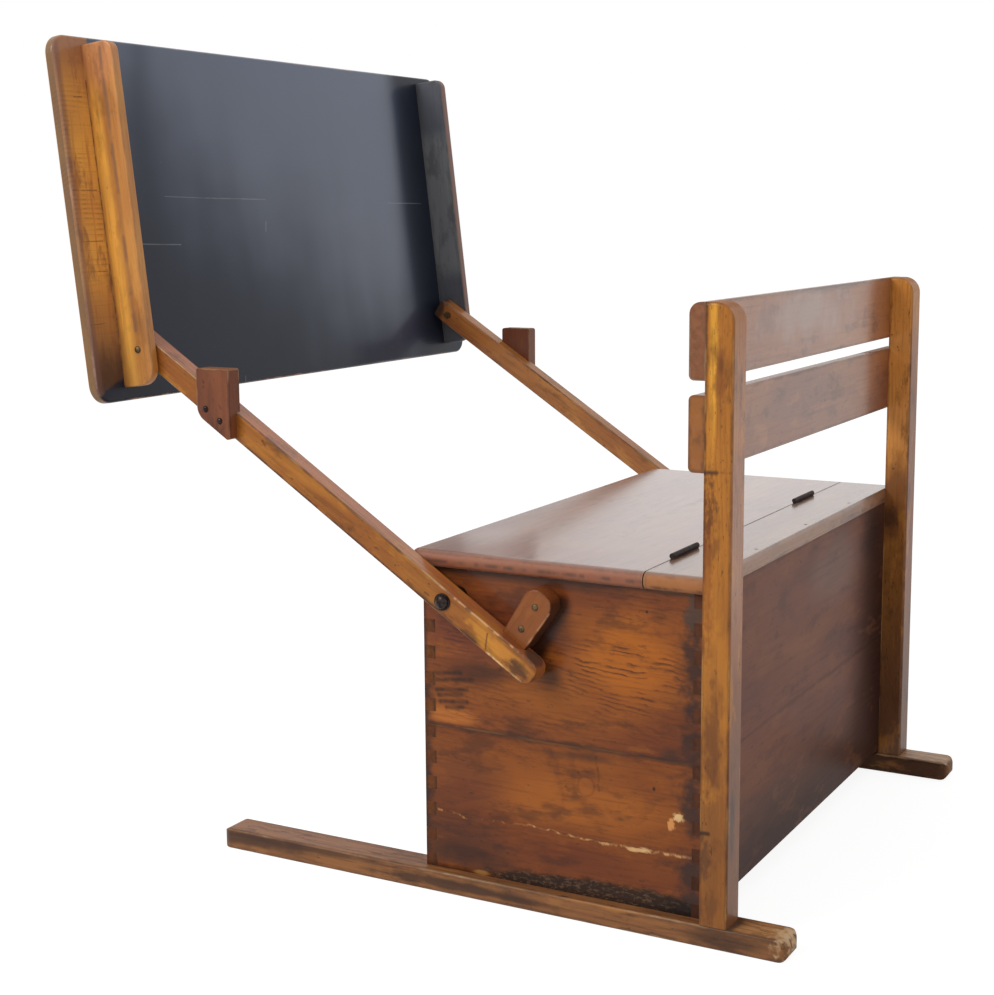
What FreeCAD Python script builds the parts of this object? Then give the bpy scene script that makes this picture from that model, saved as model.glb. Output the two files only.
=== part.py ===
import FreeCAD, Part
import math
import os
import types

import Sketcher

# Child's bench desk. A finger-jointed chest with a hinged lid is the seat. It stands on two long
# runners, and two posts behind it carry a slatted back. Two arms turn on coach bolts in the
# chest's sides and carry the desktop, which turns on two screws at the arms' upper ends.
# Millimetres, +Z up, the sitter faces -Y, X runs across. The origin is on the floor, under the
# middle of the whole desk. Left and right are the sitter's: left is +X and right is -X.

SIZES = {
    # Bench frame
    "bench_width": 610.0,
    "back_plane": 304.0,
    "runner_length": 640.0,
    "runner_back": 86.0,
    "runner_width": 37.0,
    "runner_height": 22.0,
    "runner_round": 10.0,
    "runner_corner": 12.0,
    "post_width": 33.0,
    "post_depth": 27.0,
    "post_top": 600.0,
    "post_round": 18.0,
    "post_edge": 3.0,
    "tenon_width": 15.0,
    "tenon_depth": 13.0,
    "tenon_length": 14.0,
    "slat_height": 70.0,
    "slat_thick": 15.5,
    "slat_gap": 13.0,
    "slat_round": 5.0,
    "slat_crest": 11.0,
    # Chest
    "chest_width": 585.0,
    "chest_depth": 302.5,
    "chest_wall": 13.0,
    "bottom_thick": 10.0,
    "back_lift": 5.0,
    "fingers_upper": 12,
    "fingers_lower": 11,
    # Seat
    "seat_height": 350.0,
    "seat_thick": 17.0,
    "seat_length": 602.0,
    "seat_overhang": 12.0,
    "seat_round": 8.0,
    "seat_corner": 10.0,
    "plank_depth": 61.0,
    "plank_gap": 1.2,
    "nail_radius": 2.0,
    "nail_length": 42.0,
    "nail_spacing": 150.0,
    # Butt hinges of the seat
    "hinge_length": 63.5,
    "hinge_spacing": 353.0,
    "hinge_offset": 24.0,
    "leaf_thick": 1.6,
    "leaf_drop": 14.0,
    "leaf_gap": 0.2,
    "barrel_radius": 2.7,
    "barrel_lift": 0.1,
    "hinge_pin_radius": 1.4,
    "knuckle_gap": 0.3,
    "leaf_screw_radius": 1.6,
    "leaf_screw_head": 3.0,
    "leaf_screw_length": 14.0,
    "leaf_screw_spacing": 21.0,
    # Arms
    "bolt_back": 262.0,
    "bolt_drop": 44.0,
    "arm_angle": 33.1,
    "arm_reach": 427.4,
    "arm_height": 25.0,
    "arm_thick": 22.0,
    "arm_lid_gap": 1.0,
    "arm_head": 20.0,
    "arm_tail": 118.5,
    "arm_tail_round": 12.0,
    "arm_edge": 2.0,
    "arm_corner": 4.0,
    "dado_cheek": 10.5,
    # Coach bolts that the arms turn on
    "bolt_radius": 4.0,
    "bolt_head_radius": 7.2,
    "bolt_head_height": 4.5,
    "washer_radius": 8.5,
    "washer_thick": 1.5,
    "spacer_radius": 10.0,
    "nut_across": 13.0,
    "nut_thick": 6.5,
    "bolt_end": 2.0,
    "running_gap": 0.05,
    # Stop brackets on the chest's sides, whose tongues seat in the arms' dadoes
    "stop_along": 78.5,
    "stop_upper_height": 54.0,
    "stop_lobe": 16.5,
    "stop_round": 15.0,
    "stop_edge": 1.5,
    "stop_tongue": 14.2,
    "stop_tip": 8.0,
    "stop_tip_drop": 4.0,
    "stop_seat_gap": 0.3,
    "stop_lower_height": 27.0,
    # Stop blocks on the arms, where the lowered desktop comes to rest
    "block_along": 313.0,
    "block_length": 41.0,
    "block_proud": 11.5,
    "block_let_in": 6.0,
    "block_round": 3.0,
    "block_heel": 18.0,
    "block_screw_spacing": 21.0,
    "block_screw_drop": 1.5,
    "rest_gap": 0.3,
    "wood_screw_radius": 2.0,
    "wood_screw_head": 3.4,
    "wood_screw_dome": 2.0,
    "wood_screw_bite": 11.0,
    # Desktop
    "desktop_lean": 6.7,
    "desktop_width": 756.0,
    "desktop_height": 378.0,
    "desktop_lower": 206.0,
    "desktop_thick": 12.0,
    "desktop_corner": 20.0,
    "desktop_edge": 3.0,
    "cleat_height": 40.0,
    "cleat_thick": 11.0,
    "cleat_gap": 0.5,
    "cleat_foot": 38.0,
    "cleat_top_gap": 8.5,
    "cleat_round": 19.0,
    "cleat_shoulder": 12.0,
    "cleat_screw_radius": 1.8,
    "cleat_screw_head": 3.4,
    "cleat_screw_length": 34.0,
    "pivot_stand": 24.0,
    "pivot_rise": 52.0,
    "pivot_radius": 2.5,
    "pivot_head_radius": 3.8,
    "pivot_head_height": 2.6,
    "pivot_nut_across": 8.0,
    "pivot_nut_thick": 4.0,
    "pivot_end": 1.0,
}

KNUCKLES = 5
LEAF_SCREWS = 3
CLEAT_SCREWS = 4
PLANK_NAILS = 3
SCREW_SHARES = (0.25, 0.75)
SIDES = {"left": 1, "right": -1}
LEVELS = ("lower", "upper")

doc = FreeCAD.newDocument("school_desk")
sheet = doc.addObject("Spreadsheet::Sheet", "dims")


class Size:
    """A length or angle together with the sheet expression that gives it."""

    def __init__(self, value, text=None):
        self.value = float(value)
        self.text = text if text is not None else f"({value:.9g})"

    def __add__(self, other):
        other = as_size(other)
        return Size(self.value + other.value, f"({self.text} + {other.text})")

    def __sub__(self, other):
        other = as_size(other)
        return Size(self.value - other.value, f"({self.text} - {other.text})")

    def __mul__(self, other):
        other = as_size(other)
        return Size(self.value * other.value, f"({self.text} * {other.text})")

    def __truediv__(self, other):
        other = as_size(other)
        return Size(self.value / other.value, f"({self.text} / {other.text})")

    def __neg__(self):
        return Size(0) - self

    def __radd__(self, other):
        return as_size(other) + self

    def __rsub__(self, other):
        return as_size(other) - self

    def __rmul__(self, other):
        return as_size(other) * self


def as_size(number):
    return number if isinstance(number, Size) else Size(number)


def cosine(angle):
    return Size(math.cos(math.radians(angle.value)), f"cos({angle.text})")


def sine(angle):
    return Size(math.sin(math.radians(angle.value)), f"sin({angle.text})")


def fill_sheet():
    """Write every driving size to the sheet and return them as Size values."""
    sizes = {}
    for row, (name, number) in enumerate(SIZES.items(), start=1):
        sheet.set(f"A{row}", name)
        sheet.set(f"B{row}", str(number))
        sheet.setAlias(f"B{row}", name)
        sizes[name] = Size(number, f"dims.{name}")
    doc.recompute()
    return types.SimpleNamespace(**sizes)


d = fill_sheet()


def bind(obj, prop, size):
    """Tie a property of an object to a size."""
    obj.setExpression(prop, as_size(size).text)


def place(obj, across=0, back=0, up=0, rotation=None):
    """Give an object its Placement: a point tied to the sheet and a fixed or leaning rotation."""
    spot = [as_size(value) for value in (across, back, up)]
    base = FreeCAD.Vector(*[value.value for value in spot])
    obj.Placement = FreeCAD.Placement(base, rotation or FreeCAD.Rotation())
    for axis, value in zip("xyz", spot):
        bind(obj, f"Placement.Base.{axis}", value)
    return obj


# Sketches and features


def sketch_on(body, role, offset=0):
    """Start a sketch on one of the body's own origin planes, moved along the plane's normal."""
    sketch = body.newObject("Sketcher::SketchObject", f"{body.Name}_sketch")
    plane = next(item for item in body.Origin.OriginFeatures if item.Role == role)
    sketch.AttachmentSupport = [(plane, "")]
    sketch.MapMode = "FlatFace"
    shift = as_size(offset)
    sketch.AttachmentOffset = FreeCAD.Placement(
        FreeCAD.Vector(0, 0, shift.value), FreeCAD.Rotation()
    )
    bind(sketch, "AttachmentOffset.Base.z", shift)
    return sketch


def constrain(sketch, kind, *where, size=None):
    """Add a constraint, tied to a size where it has one."""
    if size is None:
        sketch.addConstraint(Sketcher.Constraint(kind, *where))
        return
    index = sketch.addConstraint(Sketcher.Constraint(kind, *where, size.value))
    sketch.renameConstraint(index, f"size_{index}")
    sketch.setExpression(f"Constraints.size_{index}", size.text)


def pin_down(sketch, geometry, point, spot):
    """Hold a point at a place measured from the sketch's origin."""
    constrain(sketch, "DistanceX", -1, 1, geometry, point, size=as_size(spot[0]))
    constrain(sketch, "DistanceY", -1, 1, geometry, point, size=as_size(spot[1]))


def rounding(before, corner, after, radius):
    """Arc that rounds a corner: its centre, its two ends and whether it turns left."""
    into = (before - corner).normalize()
    out = (after - corner).normalize()
    half = into.getAngle(out) / 2
    reach = radius / math.tan(half)
    middle = (into + out).normalize() * (radius / math.sin(half))
    turns_left = (corner - before).cross(after - corner).z > 0
    return corner + middle, corner + into * reach, corner + out * reach, turns_left


def outline(sketch, corners):
    """Draw a closed outline through corners, each (across, up) or (across, up, radius)."""
    spots = [FreeCAD.Vector(as_size(c[0]).value, as_size(c[1]).value, 0) for c in corners]
    count = len(corners)
    arcs = {}
    for i, corner in enumerate(corners):
        if len(corner) == 3:
            before, after = spots[i - 1], spots[(i + 1) % count]
            arcs[i] = rounding(before, spots[i], after, as_size(corner[2]).value)
    lines = []
    for i in range(count):
        following = (i + 1) % count
        start = arcs[i][2] if i in arcs else spots[i]
        end = arcs[following][1] if following in arcs else spots[following]
        lines.append(sketch.addGeometry(Part.LineSegment(start, end), False))
    for i, corner in enumerate(corners):
        before, after = lines[i - 1], lines[i]
        if i not in arcs:
            constrain(sketch, "Coincident", before, 2, after, 1)
            pin_down(sketch, after, 1, corner)
            continue
        centre, start, end, turns_left = arcs[i]
        first, last = (start, end) if turns_left else (end, start)
        circle = Part.Circle(centre, FreeCAD.Vector(0, 0, 1), as_size(corner[2]).value)
        span = [math.atan2(p.y - centre.y, p.x - centre.x) for p in (first, last)]
        arc = sketch.addGeometry(Part.ArcOfCircle(circle, *span), False)
        near, far = (1, 2) if turns_left else (2, 1)
        mark = sketch.addGeometry(Part.Point(spots[i]), True)
        constrain(sketch, "Tangent", before, 2, arc, near)
        constrain(sketch, "Tangent", arc, far, after, 1)
        constrain(sketch, "PointOnObject", mark, 1, before)
        constrain(sketch, "PointOnObject", mark, 1, after)
        constrain(sketch, "Radius", arc, size=as_size(corner[2]))
        pin_down(sketch, mark, 1, corner)


def box_outline(sketch, low, high):
    """Draw a plain rectangle between two corners."""
    outline(sketch, [low, (high[0], low[1]), high, (low[0], high[1])])


def circles(sketch, centres, radius):
    for centre in centres:
        spot = FreeCAD.Vector(as_size(centre[0]).value, as_size(centre[1]).value, 0)
        ring = Part.Circle(spot, FreeCAD.Vector(0, 0, 1), radius.value)
        geometry = sketch.addGeometry(ring, False)
        constrain(sketch, "Radius", geometry, size=radius)
        pin_down(sketch, geometry, 3, centre)


def new_body(label):
    body = doc.addObject("PartDesign::Body", label)
    body.Label = label
    return body


def pad(body, sketch, length, backward=False):
    feature = body.newObject("PartDesign::Pad", f"{body.Name}_pad")
    feature.Profile = sketch
    bind(feature, "Length", length)
    feature.Reversed = backward
    doc.recompute()
    return feature


def pocket(body, sketch, depth, forward=False):
    """Cut a sketch out of the body, against the sketch's normal or, if forward, along it."""
    volume = body.Shape.Volume
    feature = body.newObject("PartDesign::Pocket", f"{body.Name}_pocket")
    feature.Profile = sketch
    bind(feature, "Length", depth)
    feature.Reversed = forward
    doc.recompute()
    if body.Shape.Volume >= volume:
        raise RuntimeError(f"{feature.Label} cuts nothing")
    return feature


def round_edges(body, radius, wanted):
    """Fillet the body's edges for which wanted(edge) holds."""
    names = [
        f"Edge{i}" for i, edge in enumerate(body.Shape.Edges, start=1) if wanted(edge)
    ]
    base = body.Tip
    feature = body.newObject("PartDesign::Fillet", f"{body.Name}_fillet")
    feature.Base = (base, names)
    bind(feature, "Radius", radius)
    doc.recompute()
    return feature


def runs_along(edge, axis):
    """True for a straight edge parallel to an axis."""
    if edge.Curve.TypeId != "Part::GeomLine":
        return False
    return abs(abs(edge.Curve.Direction.dot(axis)) - 1) < TINY


TINY = 1e-3
ACROSS = FreeCAD.Vector(1, 0, 0)
BACK = FreeCAD.Vector(0, 1, 0)
UP = FreeCAD.Vector(0, 0, 1)


def facing(direction):
    """Rotation that turns a fastener's own +Z to a direction."""
    return FreeCAD.Rotation(UP, direction)


# Fasteners: each points its own +Z out of the surface that it is driven into


def rod(name, radius, length, spot, rotation, sink=0):
    """A cylinder whose far end lies sink below its spot, and whose length runs up from there."""
    cylinder = doc.addObject("Part::Cylinder", name)
    bind(cylinder, "Radius", radius)
    bind(cylinder, "Height", length)
    down = rotation.multVec(FreeCAD.Vector(0, 0, -1))
    spot = [as_size(spot[i]) + as_size(sink) * down[i] for i in range(3)]
    return place(cylinder, *spot, rotation)


def dome(name, radius, height, spot, rotation):
    head = doc.addObject("Part::Ellipsoid", name)
    head.Angle1 = 0
    head.Angle2 = 90
    bind(head, "Radius1", height)
    bind(head, "Radius2", radius)
    bind(head, "Radius3", radius)
    return place(head, *spot, rotation)


def countersink(name, small, large, spot, rotation):
    """A cone whose wide end is flush with its spot and whose height makes its sides 45 degrees."""
    cone = doc.addObject("Part::Cone", name)
    height = large - small
    bind(cone, "Radius1", small)
    bind(cone, "Radius2", large)
    bind(cone, "Height", height)
    down = rotation.multVec(FreeCAD.Vector(0, 0, -1))
    spot = [as_size(spot[i]) + height * down[i] for i in range(3)]
    return place(cone, *spot, rotation)


def fuse(name, pieces):
    joined = doc.addObject("Part::MultiFuse", name)
    joined.Shapes = pieces
    joined.Refine = True
    return joined


def cut(name, base, tool):
    result = doc.addObject("Part::Cut", name)
    result.Base = base
    result.Tool = tool
    return result


def group(label, pieces):
    """One node that holds several separate, identical pieces."""
    together = doc.addObject("Part::Compound", label)
    together.Links = pieces
    together.Label = label
    return together


def round_head(name, spot, rotation, shank, length, head, height):
    """A domed screw: its spot is the middle of the face under its head."""
    body = rod(f"{name}_shank", shank, length, spot, rotation, sink=length)
    cap = dome(f"{name}_head", head, height, spot, rotation)
    return fuse(name, [body, cap])


def flat_head(name, spot, rotation, shank, length, head):
    """A countersunk screw: its spot is the middle of its head's flush face."""
    body = rod(f"{name}_shank", shank, length, spot, rotation, sink=length)
    cap = countersink(f"{name}_head", shank, head, spot, rotation)
    return fuse(name, [body, cap])


def hex_nut(name, across, thick, bore, spot, rotation):
    """A nut whose spot is the middle of the face that it bears on."""
    prism = doc.addObject("Part::Prism", f"{name}_prism")
    prism.Polygon = 6
    bind(prism, "Circumradius", across / Size(math.sqrt(3)))
    bind(prism, "Height", thick)
    place(prism, *spot, rotation)
    hole = rod(f"{name}_hole", bore, thick, spot, rotation)
    return cut(name, prism, hole)


def ring(name, outer, inner, thick, spot, rotation):
    """A washer or spacer that rises from its spot."""
    disc = rod(f"{name}_disc", outer, thick, spot, rotation)
    hole = rod(f"{name}_hole", inner, thick, spot, rotation)
    return cut(name, disc, hole)


nodes = {}


def keep(obj, label):
    """Register a finished piece under its node's name."""
    obj.Label = label
    nodes[label] = obj
    return obj


def drilled(label, blank, fasteners):
    """Finish a piece by cutting the fasteners that it holds out of its blank."""
    blank.Label = f"{label}_blank"
    piece = blank
    for number, fastener in enumerate(fasteners):
        piece = cut(f"{label}_drilled_{number}", piece, fastener)
    return keep(piece, label)


# Places that several pieces share

half_bench = d.bench_width / 2
half_chest = d.chest_width / 2
post_inner = half_bench - d.post_width
chest_base = d.runner_height
chest_top = d.seat_height - d.seat_thick
chest_front = d.back_plane - d.chest_depth
finger = (chest_top - chest_base) / (d.fingers_upper + d.fingers_lower)
board_joint = chest_base + finger * d.fingers_lower
hinge_line = d.back_plane - d.plank_depth
hinge_height = d.seat_height + d.barrel_lift + d.barrel_radius
arm_inner = d.seat_length / 2 + d.arm_lid_gap
arm_outer = arm_inner + d.arm_thick
bolt_y = d.back_plane - d.bolt_back
bolt_height = d.seat_height - d.bolt_drop
arm_cos = cosine(d.arm_angle)
arm_sin = sine(d.arm_angle)
half_arm = d.arm_height / 2
pivot_y = bolt_y - d.arm_reach * arm_cos
pivot_z = bolt_height + d.arm_reach * arm_sin
lean_cos = cosine(d.desktop_lean)
lean_sin = sine(d.desktop_lean)
LEAN = FreeCAD.Rotation(ACROSS, d.desktop_lean.value)
block_thick = d.block_proud + d.block_let_in
cleat_inner = arm_outer + d.cleat_gap
cleat_outer = cleat_inner + d.cleat_thick


def on_arm(along, rise):
    """Place in the YZ plane from the bolt: along the arm to its tail, and square to it."""
    along, rise = as_size(along), as_size(rise)
    return along * arm_cos + rise * arm_sin, rise * arm_cos - along * arm_sin


def in_space(across, along, rise):
    """The same place with the bolt's own position added."""
    back, up = on_arm(along, rise)
    return across, bolt_y + back, bolt_height + up


def on_desktop(across, stand, rise):
    """Place in space from the desktop's pivot: towards the sitter and up the leaning board."""
    stand, rise = as_size(stand), as_size(rise)
    return (
        as_size(across),
        pivot_y + stand * lean_cos - rise * lean_sin,
        pivot_z + stand * lean_sin + rise * lean_cos,
    )


# Bench frame


def runner(name, side):
    """Long foot, its ends rounded from above and from the side, mortised for the post's tenon."""
    body = new_body(f"runner_{name}_body")
    profile = sketch_on(body, "YZ_Plane")
    front = d.runner_back - d.runner_length
    corner = d.runner_round
    outline(profile, [
        (front, 0, corner), (d.runner_back, 0, corner),
        (d.runner_back, d.runner_height, corner), (front, d.runner_height, corner),
    ])
    pad(body, profile, d.runner_width, backward=side < 0)
    mortise = sketch_on(body, "XY_Plane", d.runner_height)
    middle = side * (half_bench - d.post_width / 2 - (half_bench - d.runner_width))
    half = d.tenon_width / 2
    start = (d.post_depth - d.tenon_depth) / 2
    box_outline(mortise, (middle - half, start), (middle + half, start + d.tenon_depth))
    pocket(body, mortise, d.tenon_length)
    length = d.runner_length.value
    round_edges(body, d.post_edge, lambda edge: edge.BoundBox.YLength > length / 2)
    plan = sketch_on(body, "XY_Plane", d.runner_height)
    low, high = (-d.runner_width, 0) if side < 0 else (0, d.runner_width)
    around = d.runner_width
    box_outline(plan, (low - around, front - around), (high + around, d.runner_back + around))
    outline(plan, [
        (low, front, d.runner_corner), (high, front, d.runner_corner),
        (high, d.runner_back, d.runner_corner), (low, d.runner_back, d.runner_corner),
    ])
    pocket(body, plan, d.runner_height)
    place(body, side * (half_bench - d.runner_width), d.back_plane, 0)
    return body


def post(name, side):
    """Back post: its rear top corner is rounded, and its foot is a tenon."""
    body = new_body(f"post_{name}_body")
    profile = sketch_on(body, "YZ_Plane")
    height = d.post_top - d.runner_height
    outline(profile, [
        (0, 0), (d.post_depth, 0), (d.post_depth, height, d.post_round), (0, height),
    ])
    pad(body, profile, d.post_width, backward=side < 0)
    round_edges(body, d.post_edge, lambda edge: edge.BoundBox.YMin > TINY
                and edge.BoundBox.ZLength > TINY)
    tenon = sketch_on(body, "XY_Plane")
    middle = side * d.post_width / 2
    half = d.tenon_width / 2
    start = (d.post_depth - d.tenon_depth) / 2
    box_outline(tenon, (middle - half, start), (middle + half, start + d.tenon_depth))
    pad(body, tenon, d.tenon_length, backward=True)
    place(body, side * post_inner, d.back_plane, d.runner_height)
    return body


def slat(name, top, crest):
    """Back slat on the posts' front faces, with rounded front edges."""
    body = new_body(f"back_slat_{name}_body")
    profile = sketch_on(body, "YZ_Plane")
    outline(profile, [
        (-d.slat_thick, -d.slat_height, d.slat_round), (0, -d.slat_height),
        (0, 0), (-d.slat_thick, 0, crest),
    ])
    pad(body, profile, d.bench_width)
    place(body, -half_bench, d.back_plane, top)
    return body


# Chest: walls of two boards each, joined by fingers at the corners


def finger_notches(body, role, starts, depth_of, base, count, forward):
    """Notch both ends of a board: the lowest pair by a sketch, the rest by a pattern."""
    notch = sketch_on(body, role)
    for start in starts:
        box_outline(notch, (start, base), (start + d.chest_wall, base + finger))
    first = pocket(body, notch, depth_of, forward)
    pattern = body.newObject("PartDesign::LinearPattern", f"{body.Name}_fingers")
    pattern.Originals = [first]
    pattern.Direction = (notch, ["V_Axis"])
    bind(pattern, "Length", finger * (2 * (count - 1)))
    pattern.Occurrences = count
    body.Tip = pattern
    doc.recompute()


def side_board(name, side, level):
    """Side board of the chest: notched where the front's and back's fingers come through."""
    body = new_body(f"chest_side_{level}_{name}_body")
    low = chest_base if level == "lower" else board_joint
    fingers = d.fingers_lower if level == "lower" else d.fingers_upper
    profile = sketch_on(body, "YZ_Plane")
    box_outline(profile, (-d.chest_depth, 0), (0, finger * fingers))
    pad(body, profile, d.chest_wall, backward=side < 0)
    first = 0 if level == "lower" else 1
    count = (int(fingers.value) + 1 - first) // 2
    starts = (-d.chest_depth, -d.chest_wall)
    finger_notches(body, "YZ_Plane", starts, d.chest_wall, finger * first, count, side > 0)
    place(body, side * (half_chest - d.chest_wall), d.back_plane, low)
    return body


def end_board(name, back_face, level):
    """Front or back board, notched where the sides' fingers come through.

    Between the runners the lowest board of the back is cut away a little.
    """
    body = new_body(f"chest_{name}_{level}_body")
    low = chest_base if level == "lower" else board_joint
    fingers = d.fingers_lower if level == "lower" else d.fingers_upper
    profile = sketch_on(body, "XZ_Plane")
    foot = []
    if (name, level) == ("back", "lower"):
        inner = half_bench - d.runner_width
        foot = [(-inner, 0), (-inner, d.back_lift), (inner, d.back_lift), (inner, 0)]
    high = finger * fingers
    outline(profile, [
        (-half_chest, 0), *foot, (half_chest, 0), (half_chest, high), (-half_chest, high),
    ])
    pad(body, profile, d.chest_wall)
    first = 1 if level == "lower" else 0
    count = (int(fingers.value) + 1 - first) // 2
    starts = (-half_chest, half_chest - d.chest_wall)
    finger_notches(body, "XZ_Plane", starts, d.chest_wall, finger * first, count, True)
    place(body, 0, back_face, low)
    return body


def chest_bottom():
    body = new_body("chest_bottom_body")
    plan = sketch_on(body, "XY_Plane")
    half = half_chest - d.chest_wall
    box_outline(plan, (-half, d.chest_wall - d.chest_depth), (half, -d.chest_wall))
    pad(body, plan, d.bottom_thick)
    place(body, 0, d.back_plane, chest_base)
    return body


# Seat: a fixed plank at the back and a lid, with hinge leaves let into the facing edges


def leaf_recesses(body, edge_line, forward):
    """Cut the two shallow recesses for the hinge leaves into the edge on the hinge line."""
    depth = d.leaf_gap / 2 + d.leaf_thick - d.plank_gap / 2
    notch = sketch_on(body, "XY_Plane", d.seat_thick)
    far = edge_line + depth if forward else edge_line - depth
    low, high = (edge_line, far) if forward else (far, edge_line)
    for middle in map(hinge_middle, SIDES.values()):
        half = d.hinge_length / 2
        box_outline(notch, (middle - half, low), (middle + half, high))
    pocket(body, notch, d.leaf_drop)


def hinge_middle(side):
    return side * d.hinge_spacing / 2 + d.hinge_offset


def seat_plank():
    body = new_body("seat_plank_body")
    plan = sketch_on(body, "XY_Plane")
    half = d.seat_length / 2
    front = d.plank_gap / 2
    box_outline(plan, (-half, front), (half, d.plank_depth))
    pad(body, plan, d.seat_thick)
    round_edges(body, d.seat_round, lambda edge: runs_along(edge, BACK))
    leaf_recesses(body, front, forward=True)
    place(body, 0, hinge_line, chest_top)
    return body


def seat_lid():
    body = new_body("seat_lid_body")
    plan = sketch_on(body, "XY_Plane")
    half = d.seat_length / 2
    back = -d.plank_gap / 2
    front = chest_front - d.seat_overhang - hinge_line
    outline(plan, [
        (-half, front, d.seat_corner), (half, front, d.seat_corner), (half, back), (-half, back),
    ])
    pad(body, plan, d.seat_thick)
    round_edges(body, d.seat_round, lambda edge: edge.BoundBox.ZLength < TINY
                and edge.BoundBox.YMin < back.value - TINY)
    leaf_recesses(body, back, forward=False)
    place(body, 0, hinge_line, chest_top)
    return body


def hinge_leaf(label, middle, turn, numbers):
    """Butt-hinge leaf: a plate on one side of the hinge line with some of the knuckles."""
    start = middle - d.hinge_length / 2
    plate = doc.addObject("Part::Box", f"{label}_plate")
    height = d.leaf_drop + d.barrel_lift + d.barrel_radius
    bind(plate, "Length", d.hinge_length)
    bind(plate, "Width", d.leaf_thick)
    bind(plate, "Height", height)
    edge = d.leaf_gap / 2 if turn > 0 else -d.leaf_gap / 2 - d.leaf_thick
    place(plate, start, hinge_line + edge, d.seat_height - d.leaf_drop)
    share = d.hinge_length / KNUCKLES
    along = facing(ACROSS)
    solids = [plate]
    cutters = []
    for number in range(KNUCKLES):
        inset = d.knuckle_gap / 2
        from_x = start + share * number
        name = f"{label}_knuckle_{number}"
        if number in numbers:
            spot = (from_x + inset, hinge_line, hinge_height)
            solids.append(rod(name, d.barrel_radius, share - inset * 2, spot, along))
        else:
            spot = (from_x, hinge_line, hinge_height)
            cutters.append(rod(name, d.barrel_radius + inset, share, spot, along))
    bore = d.hinge_pin_radius + d.running_gap
    spot = (start, hinge_line, hinge_height)
    cutters.append(rod(f"{label}_bore", bore, d.hinge_length, spot, along))
    return cut(f"{label}_leaf", fuse(f"{label}_solid", solids), fuse(f"{label}_away", cutters))


def leaf_screws(label, turn):
    """Countersunk screws through one leaf of each hinge into the wood behind it."""
    screws = []
    face = hinge_line + turn * (d.leaf_gap / 2)
    height = d.seat_height - d.leaf_drop / 2
    for hinge, middle in enumerate(map(hinge_middle, SIDES.values())):
        for number in range(LEAF_SCREWS):
            across = middle + d.leaf_screw_spacing * (number - (LEAF_SCREWS - 1) / 2)
            name = f"{label}_{hinge}_{number}"
            screws.append(flat_head(
                name, (across, face, height), facing(BACK * -turn), d.leaf_screw_radius,
                d.leaf_screw_length, d.leaf_screw_head,
            ))
    return group(label, screws)


# Arms


def arm(name, side):
    """Arm: a dado in its tail takes the stop bracket's tongue, a housing outside the stop block."""
    body = new_body(f"arm_{name}_body")
    profile = sketch_on(body, "YZ_Plane")
    head = -d.arm_reach - d.arm_head
    outline(profile, [
        (*on_arm(head, -half_arm), d.arm_corner),
        (*on_arm(d.arm_tail, -half_arm), d.arm_tail_round),
        (*on_arm(d.arm_tail, half_arm), d.arm_tail_round),
        (*on_arm(head, half_arm), d.arm_corner),
    ])
    pad(body, profile, d.arm_thick, backward=side < 0)
    round_edges(body, d.arm_edge, lambda edge: edge.BoundBox.XLength < TINY)
    dado = sketch_on(body, "YZ_Plane")
    half = tongue_half(half_arm) + d.stop_seat_gap
    reach = half_arm + d.arm_edge
    outline(dado, [
        on_arm(d.stop_along - half, -reach), on_arm(d.stop_along + half, -reach),
        on_arm(d.stop_along + half, reach), on_arm(d.stop_along - half, reach),
    ])
    pocket(body, dado, d.arm_thick - d.dado_cheek, forward=side > 0)
    housing = sketch_on(body, "YZ_Plane", side * (d.arm_thick - d.block_let_in))
    block_outline(housing)
    pocket(body, housing, d.block_let_in, forward=side > 0)
    bores = sketch_on(body, "YZ_Plane")
    circles(bores, [(0, 0)], d.bolt_radius + d.running_gap)
    pocket(body, bores, d.arm_thick, forward=side > 0)
    place(body, side * arm_inner, bolt_y, bolt_height)
    return body


def tongue_half(rise):
    """Half width of the stop bracket's tongue at a height above the arm's middle line."""
    share = (rise + d.stop_tip_drop) / (half_arm + d.stop_tip_drop)
    return d.stop_tip + (d.stop_tongue - d.stop_tip) * share


def stop_bracket(name, side):
    """Pear-shaped stop on the chest's side: its tongue wedges in the arm's dado."""
    body = new_body(f"stop_bracket_{name}_body")
    profile = sketch_on(body, "YZ_Plane")
    top = d.stop_upper_height + d.stop_lobe
    left = [
        (-d.stop_lobe, top, d.stop_round), (-d.stop_tongue, half_arm),
        (-d.stop_tip, -d.stop_tip_drop, d.stop_tip / 2),
    ]
    right = [(0 - across, *rest) for across, *rest in reversed(left)]
    corners = [
        (*on_arm(d.stop_along + across, rise), *radius) for across, rise, *radius in left + right
    ]
    outline(profile, corners)
    pad(body, profile, stop_thick, backward=side < 0)
    face = side * stop_thick.value
    round_edges(body, d.stop_edge, lambda edge: edge.BoundBox.XLength < TINY
                and abs(edge.BoundBox.XMin - face) < TINY)
    place(body, side * half_chest, bolt_y, bolt_height)
    return body


def stop_block(name, side):
    """Block let into the arm's outer face: level top, upright ends, lower edge along the arm's."""
    body = new_body(f"stop_block_{name}_body")
    profile = sketch_on(body, "YZ_Plane")
    block_outline(profile)
    pad(body, profile, block_thick, backward=side < 0)
    place(body, side * (arm_outer - d.block_let_in), bolt_y, bolt_height)
    return body


def block_outline(sketch):
    """The stop block's shape from the side, which its housing in the arm shares."""
    middle = -d.block_along * arm_cos
    front = middle - d.block_length / 2
    back = middle + d.block_length / 2
    top = pivot_z - bolt_height + d.pivot_stand - d.cleat_height - d.rest_gap
    outline(sketch, [
        (front, arm_underside(front), d.block_heel), (back, arm_underside(back), d.block_round),
        (back, top, d.block_round), (front, top, d.block_round),
    ])


def arm_underside(back):
    """Height of the arm's lower edge at a distance behind the bolt."""
    return -(back * arm_sin + half_arm) / arm_cos


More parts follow.
